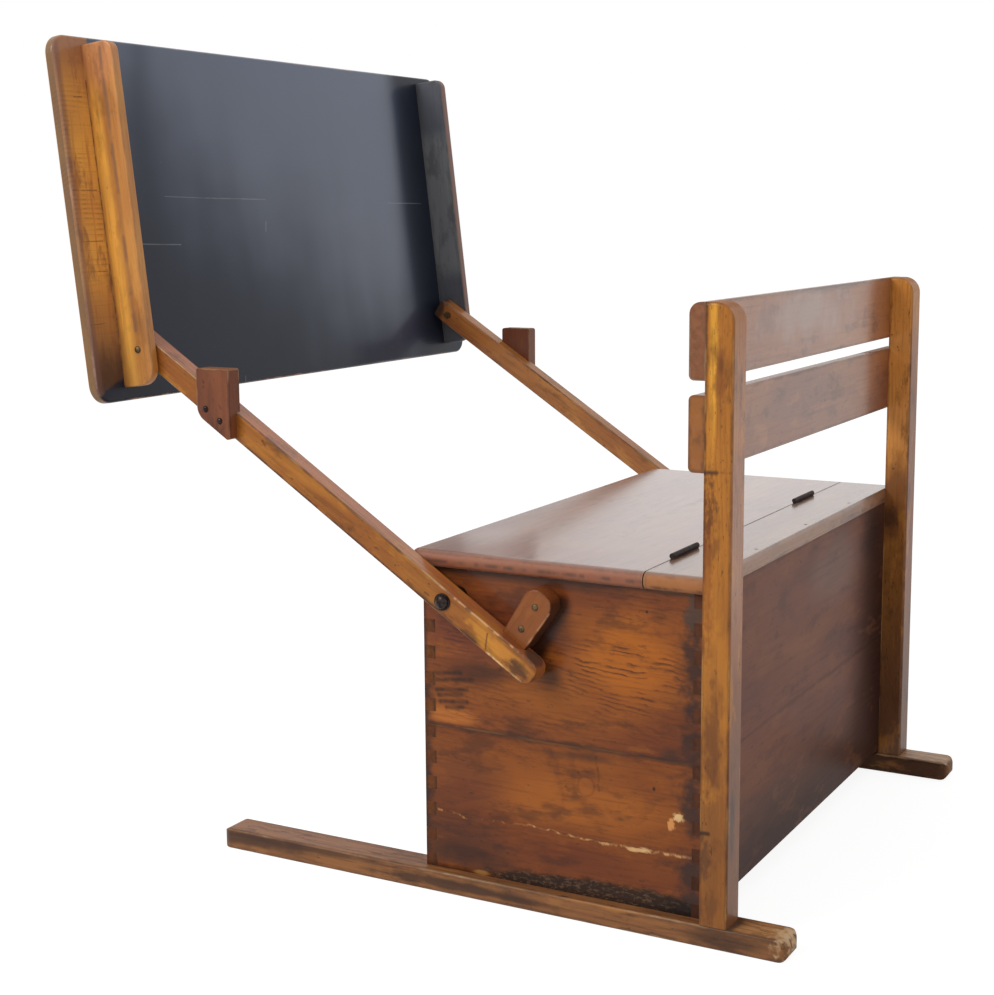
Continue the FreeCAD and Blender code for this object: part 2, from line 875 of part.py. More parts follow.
# Desktop: two boards and two cleats, which turn on screws through the arms' upper ends


def desktop_board(level):
    """Board with two rounded outer corners and one straight edge against the other board."""
    body = new_body(f"desktop_board_{level}_body")
    front = sketch_on(body, "XZ_Plane")
    half = d.desktop_width / 2
    bottom = -d.pivot_rise
    joint = bottom + d.desktop_lower
    top = bottom + d.desktop_height
    corner = d.desktop_corner
    if level == "lower":
        outline(front, [
            (-half, bottom, corner), (half, bottom, corner), (half, joint), (-half, joint),
        ])
    else:
        outline(front, [(-half, joint), (half, joint), (half, top, corner), (-half, top, corner)])
    pad(body, front, d.desktop_thick)
    round_edges(body, d.desktop_edge, lambda edge: edge.BoundBox.YLength < TINY
                and abs(edge.BoundBox.Center.z - joint.value) > TINY)
    place(body, *on_desktop(0, -d.pivot_stand, 0), LEAN)
    return body


def cleat(name, side):
    """Cleat on edge under the desktop: round foot, rounded shoulder and a bore for the pivot."""
    body = new_body(f"cleat_{name}_body")
    profile = sketch_on(body, "YZ_Plane")
    inner = -d.pivot_stand
    outer = inner + d.cleat_height
    top = d.desktop_height - d.pivot_rise - d.cleat_top_gap
    outline(profile, [
        (inner, -d.cleat_foot), (outer, -d.cleat_foot, d.cleat_round),
        (outer, top, d.cleat_shoulder), (inner, top),
    ])
    pad(body, profile, d.cleat_thick, backward=side < 0)
    round_edges(body, d.arm_edge, lambda edge: edge.BoundBox.XLength < TINY
                and edge.BoundBox.YMax > inner.value + TINY)
    bore = sketch_on(body, "YZ_Plane")
    circles(bore, [(0, 0)], d.pivot_radius + d.running_gap)
    pocket(body, bore, d.cleat_thick, forward=side > 0)
    place(body, *on_desktop(side * cleat_inner, 0, 0), LEAN)
    return body


# Fasteners

OUTWARD = {name: facing(ACROSS * side) for name, side in SIDES.items()}
INWARD = {name: facing(ACROSS * -side) for name, side in SIDES.items()}
stop_thick = arm_inner + d.arm_thick - d.dado_cheek - d.stop_seat_gap - half_chest
chest_inner = half_chest - d.chest_wall
bolt_head_face = arm_outer + d.washer_thick
bolt_length = bolt_head_face - chest_inner + d.nut_thick + d.bolt_end
pivot_length = cleat_outer - arm_inner + d.pivot_nut_thick + d.pivot_end
slat_tops = {
    "upper": d.post_top,
    "lower": d.post_top - d.slat_height - d.slat_gap,
}


def for_sides(label, make):
    """One node with a left and a right piece."""
    return group(label, [make(f"{label}_{name}", name, side) for name, side in SIDES.items()])


def arm_bolt(name, hand, side):
    spot = (side * bolt_head_face, bolt_y, bolt_height)
    return round_head(
        name, spot, OUTWARD[hand], d.bolt_radius, bolt_length, d.bolt_head_radius,
        d.bolt_head_height,
    )


def arm_washer(name, hand, side):
    spot = (side * arm_outer, bolt_y, bolt_height)
    inner = d.bolt_radius + d.running_gap
    return ring(name, d.washer_radius, inner, d.washer_thick, spot, OUTWARD[hand])


def arm_spacer(name, hand, side):
    spot = (side * half_chest, bolt_y, bolt_height)
    inner = d.bolt_radius + d.running_gap
    return ring(name, d.spacer_radius, inner, arm_inner - half_chest, spot, OUTWARD[hand])


def arm_nut(name, hand, side):
    spot = (side * chest_inner, bolt_y, bolt_height)
    bore = d.bolt_radius + d.running_gap
    return hex_nut(name, d.nut_across, d.nut_thick, bore, spot, INWARD[hand])


def pivot_screw(name, hand, side):
    spot = (side * cleat_outer, pivot_y, pivot_z)
    return round_head(
        name, spot, OUTWARD[hand], d.pivot_radius, pivot_length, d.pivot_head_radius,
        d.pivot_head_height,
    )


def pivot_nut(name, hand, side):
    spot = (side * arm_inner, pivot_y, pivot_z)
    bore = d.pivot_radius + d.running_gap
    return hex_nut(name, d.pivot_nut_across, d.pivot_nut_thick, bore, spot, INWARD[hand])


def wood_screw(name, spot, rotation, through):
    """Domed wood screw that passes through one piece and bites into the next."""
    return round_head(
        name, spot, rotation, d.wood_screw_radius, through + d.wood_screw_bite,
        d.wood_screw_head, d.wood_screw_dome,
    )


def bracket_screws():
    screws = []
    for hand, side in SIDES.items():
        for number, rise in enumerate((d.stop_upper_height, d.stop_lower_height)):
            spot = in_space(side * (half_chest + stop_thick), d.stop_along, rise)
            name = f"bracket_screw_{hand}_{number}"
            screws.append(wood_screw(name, spot, OUTWARD[hand], stop_thick))
    return group("stop_bracket_screws", screws)


def block_screws():
    screws = []
    for hand, side in SIDES.items():
        for number in (-1, 1):
            along = number * d.block_screw_spacing / 2 - d.block_along
            spot = in_space(side * (arm_outer + d.block_proud), along, -d.block_screw_drop)
            name = f"block_screw_{hand}_{number + 1}"
            screws.append(wood_screw(name, spot, OUTWARD[hand], block_thick))
    return group("stop_block_screws", screws)


def slat_screws():
    """Countersunk screws from the front, two at each end of each slat."""
    screws = []
    for level, top in slat_tops.items():
        for hand, side in SIDES.items():
            for number, share in enumerate(SCREW_SHARES):
                across = side * (half_bench - d.post_width / 2)
                spot = (across, d.back_plane - d.slat_thick, top - d.slat_height * share)
                screws.append(flat_head(
                    f"slat_screw_{level}_{hand}_{number}", spot, facing(-BACK),
                    d.wood_screw_radius, d.slat_thick + d.wood_screw_bite, d.wood_screw_head,
                ))
    return group("slat_screws", screws)


def cleat_screws():
    """Countersunk screws from the writing face through the boards into each cleat's edge."""
    screws = []
    writing_face = -d.pivot_stand - d.desktop_thick
    span = d.desktop_height - d.pivot_rise - d.cleat_top_gap + d.cleat_foot
    out = LEAN.multVec(-BACK)
    for hand, side in SIDES.items():
        for number in range(CLEAT_SCREWS):
            rise = span * (number + 0.5) / CLEAT_SCREWS - d.cleat_foot
            spot = on_desktop(side * (cleat_inner + d.cleat_thick / 2), writing_face, rise)
            screws.append(flat_head(
                f"cleat_screw_{hand}_{number}", spot, facing(out), d.cleat_screw_radius,
                d.cleat_screw_length, d.cleat_screw_head,
            ))
    return group("cleat_screws", screws)


def plank_nails():
    """Nails through the plank into the top edge of the chest's back."""
    nails = []
    for number in range(PLANK_NAILS):
        across = d.nail_spacing * (number - (PLANK_NAILS - 1) / 2)
        spot = (across, d.back_plane - d.chest_wall / 2, d.seat_height)
        name = f"plank_nail_{number}"
        nails.append(rod(name, d.nail_radius, d.nail_length, spot, facing(UP), d.nail_length))
    return group("plank_nails", nails)


def post_screws():
    """Countersunk screws from inside the chest through its back into the posts."""
    screws = []
    for hand, side in SIDES.items():
        for number, share in enumerate(SCREW_SHARES):
            across = side * (post_inner + chest_inner) / 2
            height = chest_base + (chest_top - chest_base) * share
            spot = (across, d.back_plane - d.chest_wall, height)
            screws.append(flat_head(
                f"post_screw_{hand}_{number}", spot, facing(-BACK), d.wood_screw_radius,
                d.chest_wall + d.wood_screw_bite, d.wood_screw_head,
            ))
    return group("post_screws", screws)


def runner_screws():
    """Countersunk screws from inside the chest through its bottom into the runners."""
    screws = []
    for hand, side in SIDES.items():
        for number, share in enumerate(SCREW_SHARES):
            across = side * (half_bench - d.runner_width + chest_inner) / 2
            back = d.back_plane - d.chest_depth * share
            spot = (across, back, chest_base + d.bottom_thick)
            screws.append(flat_head(
                f"runner_screw_{hand}_{number}", spot, facing(UP), d.wood_screw_radius,
                d.bottom_thick + d.wood_screw_bite, d.wood_screw_head,
            ))
    return group("runner_screws", screws)


def build():
    """Make every piece and register it under its node's name."""
    bolts = keep(for_sides("arm_bolts", arm_bolt), "arm_bolts")
    keep(for_sides("arm_washers", arm_washer), "arm_washers")
    keep(for_sides("arm_spacers", arm_spacer), "arm_spacers")
    keep(for_sides("arm_nuts", arm_nut), "arm_nuts")
    pivots = keep(for_sides("desktop_pivot_screws", pivot_screw), "desktop_pivot_screws")
    keep(for_sides("desktop_pivot_nuts", pivot_nut), "desktop_pivot_nuts")
    to_chest = keep(bracket_screws(), "stop_bracket_screws")
    to_arm = keep(block_screws(), "stop_block_screws")
    to_posts = keep(slat_screws(), "slat_screws")
    to_cleats = keep(cleat_screws(), "cleat_screws")
    nails = keep(plank_nails(), "plank_nails")
    chest_to_posts = keep(post_screws(), "post_screws")
    chest_to_runners = keep(runner_screws(), "runner_screws")
    plank_screws = keep(leaf_screws("hinge_screws_plank", 1), "hinge_screws_plank")
    lid_screws = keep(leaf_screws("hinge_screws_lid", -1), "hinge_screws_lid")

    for name, side in SIDES.items():
        drilled(f"runner_{name}", runner(name, side), [chest_to_runners])
        drilled(f"post_{name}", post(name, side), [to_posts, chest_to_posts])
        keep(side_board(name, side, "lower"), f"chest_side_lower_{name}")
        upper = side_board(name, side, "upper")
        drilled(f"chest_side_upper_{name}", upper, [to_chest, bolts])
        drilled(f"arm_{name}", arm(name, side), [to_arm, pivots])
        drilled(f"stop_bracket_{name}", stop_bracket(name, side), [to_chest])
        drilled(f"stop_block_{name}", stop_block(name, side), [to_arm])
        drilled(f"cleat_{name}", cleat(name, side), [to_cleats])
        middle = hinge_middle(side)
        pin = rod(
            f"pin_{name}", d.hinge_pin_radius, d.hinge_length,
            (middle - d.hinge_length / 2, hinge_line, hinge_height), facing(ACROSS),
        )
        keep(pin, f"hinge_pin_{name}")
        fixed = hinge_leaf(f"fixed_{name}", middle, 1, range(0, KNUCKLES, 2))
        moving = hinge_leaf(f"moving_{name}", middle, -1, range(1, KNUCKLES, 2))
        drilled(f"hinge_leaf_plank_{name}", fixed, [plank_screws])
        drilled(f"hinge_leaf_lid_{name}", moving, [lid_screws])

    for level in LEVELS:
        crest = d.slat_crest if level == "upper" else d.slat_round
        drilled(f"back_slat_{level}", slat(level, slat_tops[level], crest), [to_posts])
        keep(end_board("front", chest_front + d.chest_wall, level), f"chest_front_{level}")
        held = [chest_to_posts] if level == "lower" else [chest_to_posts, nails]
        drilled(f"chest_back_{level}", end_board("back", d.back_plane, level), held)
        drilled(f"desktop_board_{level}", desktop_board(level), [to_cleats])
    drilled("chest_bottom", chest_bottom(), [chest_to_runners])
    drilled("seat_plank", seat_plank(), [nails, plank_screws])
    drilled("seat_lid", seat_lid(), [lid_screws])


def check():
    """Stop if any object failed or any piece's shape is empty or invalid."""
    failed = [o.Label for o in doc.Objects if {"Invalid", "Error"} & set(o.State)]
    if failed:
        raise RuntimeError(f"failed objects: {failed}")
    for label, piece in nodes.items():
        if piece.Shape.isNull() or not piece.Shape.isValid() or not piece.Shape.Solids:
            raise RuntimeError(f"{label} has no valid solid")


def write():
    os.makedirs("parts", exist_ok=True)
    for label, piece in sorted(nodes.items()):
        piece.Shape.exportStep(os.path.join("parts", f"{label}.step"))
        print(label, len(piece.Shape.Solids), round(piece.Shape.Volume))


build()
doc.recompute()
check()
write()
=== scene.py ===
import math

import bpy
from mathutils import Matrix, Vector

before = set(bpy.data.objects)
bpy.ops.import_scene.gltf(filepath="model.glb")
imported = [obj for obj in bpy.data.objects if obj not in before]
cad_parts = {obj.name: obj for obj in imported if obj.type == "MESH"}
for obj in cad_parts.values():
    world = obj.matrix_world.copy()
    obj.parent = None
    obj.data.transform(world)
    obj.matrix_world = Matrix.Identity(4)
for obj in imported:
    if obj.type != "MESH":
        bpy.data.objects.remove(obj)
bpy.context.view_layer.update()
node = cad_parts
print("loaded", len(node), "pieces")


def tint(red, green, blue):
    # a colour as a screen shows it, 0 to 255, made linear
    parts = [c / 255 for c in (red, green, blue)]
    return tuple(c / 12.92 if c <= 0.04045 else ((c + 0.055) / 1.055) ** 2.4 for c in parts) + (1.0,)


class Wire:
    # a socket that takes part in sums: wire + 1, 1 - wire, wire * other
    def __init__(self, recipe, socket):
        self.recipe, self.socket = recipe, socket

    def __add__(self, other):
        return self.recipe.sum("ADD", self, other)

    def __sub__(self, other):
        return self.recipe.sum("SUBTRACT", self, other)

    def __rsub__(self, other):
        return self.recipe.sum("SUBTRACT", other, self)

    def __mul__(self, other):
        return self.recipe.sum("MULTIPLY", self, other)

    def __truediv__(self, other):
        return self.recipe.sum("DIVIDE", self, other)

    def __abs__(self):
        return self.recipe.sum("ABSOLUTE", self)

    __radd__ = __add__
    __rmul__ = __mul__


class Recipe:
    # the nodes of one finish, of a material or of the world
    def __init__(self, owner):
        owner.use_nodes = True
        self.owner, self.tree = owner, owner.node_tree
        self.tree.nodes.clear()

    def make(self, kind, settings=None, sockets=None, out=0):
        made = self.tree.nodes.new(kind)
        for key, value in (settings or {}).items():
            setattr(made, key, value)
        for key, value in (sockets or {}).items():
            if isinstance(value, Wire):
                self.tree.links.new(value.socket, made.inputs[key])
            else:
                made.inputs[key].default_value = value
        return Wire(self, made.outputs[out]) if made.outputs else made

    def sum(self, operation, *parts):
        return self.make("ShaderNodeMath", {"operation": operation}, dict(enumerate(parts)))

    def smooth(self, value, low, high, start=0.0, end=1.0):
        # start below low, end above high, and a soft step between
        return self.make("ShaderNodeMapRange", {"interpolation_type": "SMOOTHSTEP"},
                         {0: value, 1: low, 2: high, 3: start, 4: end})

    def noise(self, x, y, z, detail, rough=0.5):
        spot = self.make("ShaderNodeCombineXYZ", None, {0: x, 1: y, 2: z})
        return self.make("ShaderNodeTexNoise", None,
                         {"Vector": spot, "Scale": 1.0, "Detail": detail, "Roughness": rough})

    def blend(self, amount, under, over):
        return self.make("ShaderNodeMix", {"data_type": "RGBA"}, {0: amount, 6: under, 7: over}, 2)

    def dot(self, one, other):
        return self.make("ShaderNodeVectorMath", {"operation": "DOT_PRODUCT"},
                         {0: one, 1: other}, "Value")

    def facing(self, way):
        # 1 where the surface faces this way, -1 where it faces the other way
        return self.dot(self.make("ShaderNodeTexCoord", None, None, "Normal"), way)

    def surface(self, sockets, height):
        # one Principled shader; height is in metres
        sockets["Normal"] = self.make("ShaderNodeBump", None, {"Distance": 1.0, "Height": height})
        shader = self.make("ShaderNodeBsdfPrincipled", None, sockets)
        self.make("ShaderNodeOutputMaterial", None, {"Surface": shader})
        return self.owner


class Board:
    # lengths in metres from the middle of one piece or more: along the grain, across it, and through it
    def __init__(self, recipe, pieces, along, across):
        self.recipe = recipe
        along, across = Vector(along).normalized(), Vector(across).normalized()
        self.axes = (along, across, along.cross(across))
        spot = recipe.make("ShaderNodeTexCoord", None, None, "Object")
        corners = [corner.co for piece in pieces for corner in piece.data.vertices]
        self.middles, self.halves, self.lengths = [], [], []
        for axis in self.axes:
            reach = [corner.dot(axis) for corner in corners]
            low, high = min(reach), max(reach)
            self.middles.append((low + high) / 2)
            self.halves.append((high - low) / 2)
            self.lengths.append(recipe.dot(spot, axis) - self.middles[-1])

    def place(self, point):
        return [Vector(point).dot(axis) - middle for axis, middle in zip(self.axes, self.middles)]

    def fromArris(self):
        # how far a point of the surface is from the nearest arris
        r = self.recipe
        a, b, c = [half - abs(length) for half, length in zip(self.halves, self.lengths)]
        less, more = r.sum("MINIMUM", a, b), r.sum("MAXIMUM", a, b)
        return r.sum("MAXIMUM", less, r.sum("MINIMUM", more, c))

    def mask(self, mark):
        # where a mark shows: a patch, or a stroke between two points
        r = self.recipe
        found = self.stroke(mark) if "end" in mark else self.patch(mark)
        if "way" in mark:
            found = found * r.smooth(r.facing(mark["way"]), 0.4, 0.8)
        return found

    def patch(self, mark):
        # an oval patch with a ragged rim; size is half its length and half its width
        r = self.recipe
        along, across = mark["size"]
        u, v, w = self.lengths
        du, dv, dw = [(length - start) / size for length, start, size in
                      zip(self.lengths, self.place(mark["at"]), (along, across, across))]
        far = r.sum("SQRT", du * du + dv * dv + dw * dw)
        coarse = mark.get("coarse", 60)
        rim = r.noise(u * coarse * mark.get("stretch", 0.5), v * coarse, w * coarse, 3.0) - 0.5
        far = far + rim * mark.get("ragged", 0.8)
        soft = mark.get("soft", 0.6)
        return r.smooth(far, 1 - soft, 1 + soft * 0.4, 1.0, 0.0)

    def stroke(self, mark):
        # a line, broken here and there where it has gaps; core is its full part, step is knots per metre
        r = self.recipe
        first, last = Vector(self.place(mark["at"])), Vector(self.place(mark["end"]))
        way, length = (last - first).normalized(), (last - first).length
        aside = [here - start for here, start in zip(self.lengths, first)]
        run = aside[0] * way.x + aside[1] * way.y + aside[2] * way.z
        step = mark.get("step", 90)
        if "wander" in mark:
            shift = (r.noise(run * step * 0.5, first.x * 90, first.y * 90, 3.0) - 0.5) * mark["wander"]
            aside = [aside[0] + shift, aside[1] + shift, aside[2]]
        near = r.sum("MINIMUM", r.sum("MAXIMUM", run, 0.0), length)
        x, y, z = [here - near * part for here, part in zip(aside, way)]
        far = r.sum("SQRT", x * x + y * y + z * z)
        found = r.smooth(far, mark["wide"] * mark.get("core", 0.0), mark["wide"] * 0.6, 1.0, 0.0)
        if "gaps" in mark:
            found = found * r.smooth(r.noise(run * step, first.y * 50, first.x * 50, 3.0), 0.42, 0.56,
                                     mark["gaps"], 1.0)
        return found


def dress(piece, material):
    piece.data.materials.clear()
    piece.data.materials.append(material)


# marks at places in metres: over the wood, a stain, a painted shadow or a stroke; under its grain, a
# glow, which is sometimes painted light or shade; a sheen changes the varnish, and a figure brings out
# the rings
def stainAndShadow(at, size, colour, show, **more):
    return {"kind": "mark", "at": at, "size": size, "colour": colour, "show": show, **more}


def stroke(at, end, wide, colour, show, **more):
    return {"kind": "mark", "at": at, "end": end, "wide": wide, "colour": colour, "show": show, **more}


def glow(at, size, colour, show, **more):
    return {"kind": "glow", "at": at, "size": size, "colour": colour, "show": show, **more}


def sheen(at, size, show, **more):
    return {"kind": "sheen", "at": at, "size": size, "show": show, **more}


def figure(at, size, show):
    return {"kind": "figure", "at": at, "size": size, "show": show, "coarse": 20}


def onFace(way, marks):
    # marks that show only on the faces that look this way
    return [{**mark, "way": way} for mark in marks]


# what a wood has where its own dictionary says nothing else; lengths are in metres
plainWood = {
    "ringEvery": 0.006, "bend": 0.01, "wave": 0.003, "broken": 9,
    "aside": 0.0, "depth": 0.03, "tilt": 0.1,       # where the log's pith runs from the board's middle
    "blotShow": 0.45, "fleckShow": 0.4, "endShow": 0.8, "dirtWide": 0.006, "wornWide": 0.0022,
    "ringDeep": 0.00003, "fibreHigh": 0.00005, "nickDeep": 0.0002, "dentDeep": 0.0003, "gritHigh": 0.0004,
    "rough": 0.42, "coat": 0.5, "coatRough": 0.2, "coatIOR": 1.5, "ior": 1.3,
}


def finishWood(piece, look, along, across, marks=()):
    # in each noise, u, v and w are multiplied by the number of its features in a metre
    look = {**plainWood, **look}
    r = Recipe(bpy.data.materials.new("wood_" + piece.name))
    board = Board(r, [piece], along, across)
    u, v, w = board.lengths
    letters = sum((i + 3) * ord(letter) for i, letter in enumerate(piece.name))
    seed = look.get("seed", letters % 211 * 0.37)
    base, ringTint, red, gold, grime, worn, endTint = (
        tint(*look[k]) for k in ("base", "ring", "red", "gold", "grime", "worn", "end"))

    # broad clouds, redder and more golden
    cloud = r.noise(u * 3.5 + seed, v * 13, w * 13 + 9, 3.0, 0.55)
    cloud2 = r.noise(u * 8 + 31, v * 26 + seed, w * 26, 3.0)
    base = r.blend(r.smooth(cloud, 0.48, 0.68, 0.0, look["redShow"]), base, red)
    base = r.blend(r.smooth(cloud, 0.50, 0.32, 0.0, look["goldShow"]), base, gold)
    for mark in marks:
        if mark["kind"] == "glow":
            base = r.blend(board.mask(mark) * mark["show"], base, tint(*mark["colour"]))

    # the log's rings: a point's distance from a pith that runs along the board
    sway = (r.noise(u * 4.5 + seed, v * 5, w * 5 + 3, 3.0) - 0.5) * look["bend"] * 2
    sway2 = (r.noise(u * 4 + 7, v * 6 + seed, w * 6, 2.0) - 0.5) * look["bend"] * 2
    wave = (r.noise(u * 26 + seed, v * 60, w * 60, 4.0, 0.6) - 0.5) * look["wave"] * 2
    y, z = v - look["aside"] + sway, w + look["depth"] + u * look["tilt"] + sway2
    ring = (r.sum("SQRT", y * y + z * z) + wave) / look["ringEvery"]
    knots = []
    for mark in marks:
        if mark["kind"] == "knot":
            u0, v0 = board.place(mark["at"])[:2]
            du, dv = u - u0, v - v0
            far = r.sum("SQRT", du * du + dv * dv)
            far = far * (r.noise(u * 60 + 5, v * 60, seed, 2.0) * 0.6 + 0.7)
            ring = ring + r.smooth(far, 0.0, mark["size"] * 5, mark["hill"], 0.0)
            knots.append((mark, far, mark["size"]))
    part = r.sum("FRACT", ring)
    line = r.smooth(part, 0.35, 0.88) * r.smooth(part, 0.92, 1.0, 1.0, 0.0)
    line = line * r.smooth(r.noise(ring * 0.41, u * look["broken"] + seed, v * 12, 3.0), 0.40, 0.60)
    ringShow = look["ringShow"] * r.smooth(cloud2, 0.35, 0.6, 0.35, 1.0)
    for mark in marks:
        if mark["kind"] == "figure":
            ringShow = r.sum("MAXIMUM", ringShow, board.mask(mark) * mark["show"])
    base = r.blend(line * ringShow, base, ringTint)

    # dark blotches and golden flecks, then fibres, pores and small dark nicks
    blot = r.noise(u * 16 + 21, v * 38, w * 38 + seed, 4.0, 0.62)
    blotTint = r.blend(0.5, ringTint, grime)
    base = r.blend(r.smooth(blot, 0.54, 0.68, 0.0, look["blotShow"]), base, blotTint)
    base = r.blend(r.smooth(blot, 0.46, 0.32, 0.0, look["fleckShow"]), base, gold)
    fibre = r.noise(u * 12 + seed, v * 300, w * 300, 3.0, 0.6)
    base = r.blend(r.smooth(fibre, 0.48, 0.75, 0.0, look["fibreShow"]), base, ringTint)
    base = r.blend(r.smooth(fibre, 0.44, 0.25, 0.0, look["fibreShow"] * 0.5), base, gold)
    pores = r.smooth(r.noise(u * 130 + 3, v * 700, w * 700 + seed, 2.0), 0.64, 0.72)
    pores = pores * r.smooth(cloud2, 0.4, 0.6)
    base = r.blend(pores * look["poreShow"], base, grime)
    nick = r.smooth(r.noise(u * 75 + 9, v * 160, w * 160 + seed, 3.0, 0.65), 0.66, 0.71)
    base = r.blend(nick * look["nickShow"], base, grime)
    end = r.smooth(abs(r.facing(board.axes[0])), 0.6, 0.85)
    mottle = r.noise(u * 150, v * 150 + seed, w * 150, 3.0)
    base = r.blend(end * r.smooth(mottle, 0.3, 0.7, 0.6, 1.0) * look["endShow"], base, endTint)

    # dirt near the arrises and in dull places, and pale wood where hands and feet wore the arris
    arris = board.fromArris()
    ragged = r.noise(u * 40 + seed, v * 70, w * 70, 4.0, 0.6)
    wide = look["dirtWide"]
    dirt = r.smooth(arris + (ragged - 0.5) * wide * 2.2, 0.0, wide, look["dirtShow"], 0.0)
    dull = r.smooth(ragged * 0.5 + cloud2 * 0.5, 0.56, 0.70, 0.0, look["dirtShow"] * 0.8)
    dirt = r.sum("MAXIMUM", dirt, dull)
    base = r.blend(dirt, base, grime)
    wide = look["wornWide"]
    rubbed = r.smooth(r.noise(u * 14 + seed, v * 10 + 4, w * 10, 2.0), 0.46, 0.62)
    wear = r.smooth(arris + (ragged - 0.5) * wide * 3.0, wide * 0.1, wide, look["wornShow"], 0.0) * rubbed
    base = r.blend(wear, base, worn)

    height = line * -look["ringDeep"] + fibre * look["fibreHigh"] + nick * -look["nickDeep"]
    height = height + r.noise(u * 30, v * 60 + seed, w * 60, 2.0) * look["dentDeep"]
    rough = look["rough"] + fibre * 0.1 + dirt * 0.15 + wear * 0.1 + end * 0.15
    coat = look["coat"] * (1 - end * 0.6)
    for mark, far, size in knots:
        inside = r.smooth(far, size * 0.85, size, 1.0, 0.0)
        rim = r.smooth(far, size * 0.75, size * 0.95) * r.smooth(far, size, size * 1.25, 1.0, 0.0)
        base = r.blend(inside * 0.4, base, tint(*mark["heart"]))
        base = r.blend(rim * mark["show"], base, tint(*mark["rim"]))
    for mark in marks:
        if mark["kind"] not in ("mark", "sheen"):
            continue
        mask = board.mask(mark)
        if mark["kind"] == "sheen":
            coat = coat + mask * mark["show"]
            continue
        colour = tint(*mark["colour"])
        if "grit" in mark:
            grain = r.smooth(r.noise(u * 170, v * 340, w * 340, 3.0, 0.7), 0.48, 0.66, 0.0, 0.8)
            colour = r.blend(grain, colour, tint(*mark["grit"]))
            height = height + grain * mask * look["gritHigh"]
        base = r.blend(mask * mark["show"], base, colour)
        rough = rough + mask * mark.get("duller", 0.0)
        coat = coat * (1 - mask * mark.get("duller", 0.0) * 2)
        if "deep" in mark:
            height = height - mask * mark["deep"]
    dress(piece, r.surface({
        "Base Color": base, "Roughness": rough, "IOR": look["ior"],
        "Coat Weight": r.sum("MAXIMUM", coat, 0.0), "Coat Roughness": look["coatRough"],
        "Coat IOR": look["coatIOR"],
    }, height))


alongX, alongY, alongZ = (1, 0, 0), (0, 1, 0), (0, 0, 1)
toLeft, toBack, toTop = alongX, alongY, alongZ      # the ways that faces look
chestX, frameX, lidX = 0.2925, 0.305, 0.301         # left faces of the chest, of the posts, of the lid
backY = 0.304                                       # back of the chest and of the slats
dark = (40, 26, 20)                                 # nail holes and cracks

# the chest
chest = {
    "base": (134, 71, 27), "ring": (70, 35, 19), "red": (104, 48, 24), "gold": (164, 94, 30),
    "grime": (48, 31, 24), "worn": (196, 146, 92), "end": (80, 52, 38),
    "ringEvery": 0.0046, "bend": 0.012, "wave": 0.0034, "ringShow": 0.35, "redShow": 0.7, "goldShow": 0.6,
    "fibreShow": 0.35, "poreShow": 0.4, "nickShow": 0.4, "dirtShow": 0.7, "dirtWide": 0.005,
    "wornShow": 0.15, "blotShow": 0.5, "fleckShow": 0.35, "coat": 0.36, "ior": 1.12,
}
chestSideUpper = dict(chest, aside=-0.11, depth=0.06, tilt=0.12, seed=11.3, ringEvery=0.0038, wave=0.0046,
                      broken=34)
chestSideLower = dict(chest, aside=0.03, depth=0.05, tilt=0.16, seed=47.1, ringShow=0.22,
                      base=(128, 66, 24), gold=(152, 84, 28), ringEvery=0.007, broken=16)
chestBack = dict(chest, base=(116, 72, 54), ring=(72, 44, 38), red=(94, 58, 50), gold=(132, 84, 56),
                 grime=(42, 30, 30), aside=0.02, depth=0.02, tilt=0.05, ringEvery=0.010, ringShow=0.22,
                 fibreShow=0.14, dirtShow=0.3, wornShow=0.0, blotShow=0.35, fleckShow=0.3, coat=0.16,
                 coatRough=0.3, ior=1.08)
chestFront = dict(chest, aside=0.05, depth=0.03, tilt=0.06)
chestBottom = dict(chest, base=(150, 112, 74), ring=(112, 76, 48), coat=0.0, rough=0.6)

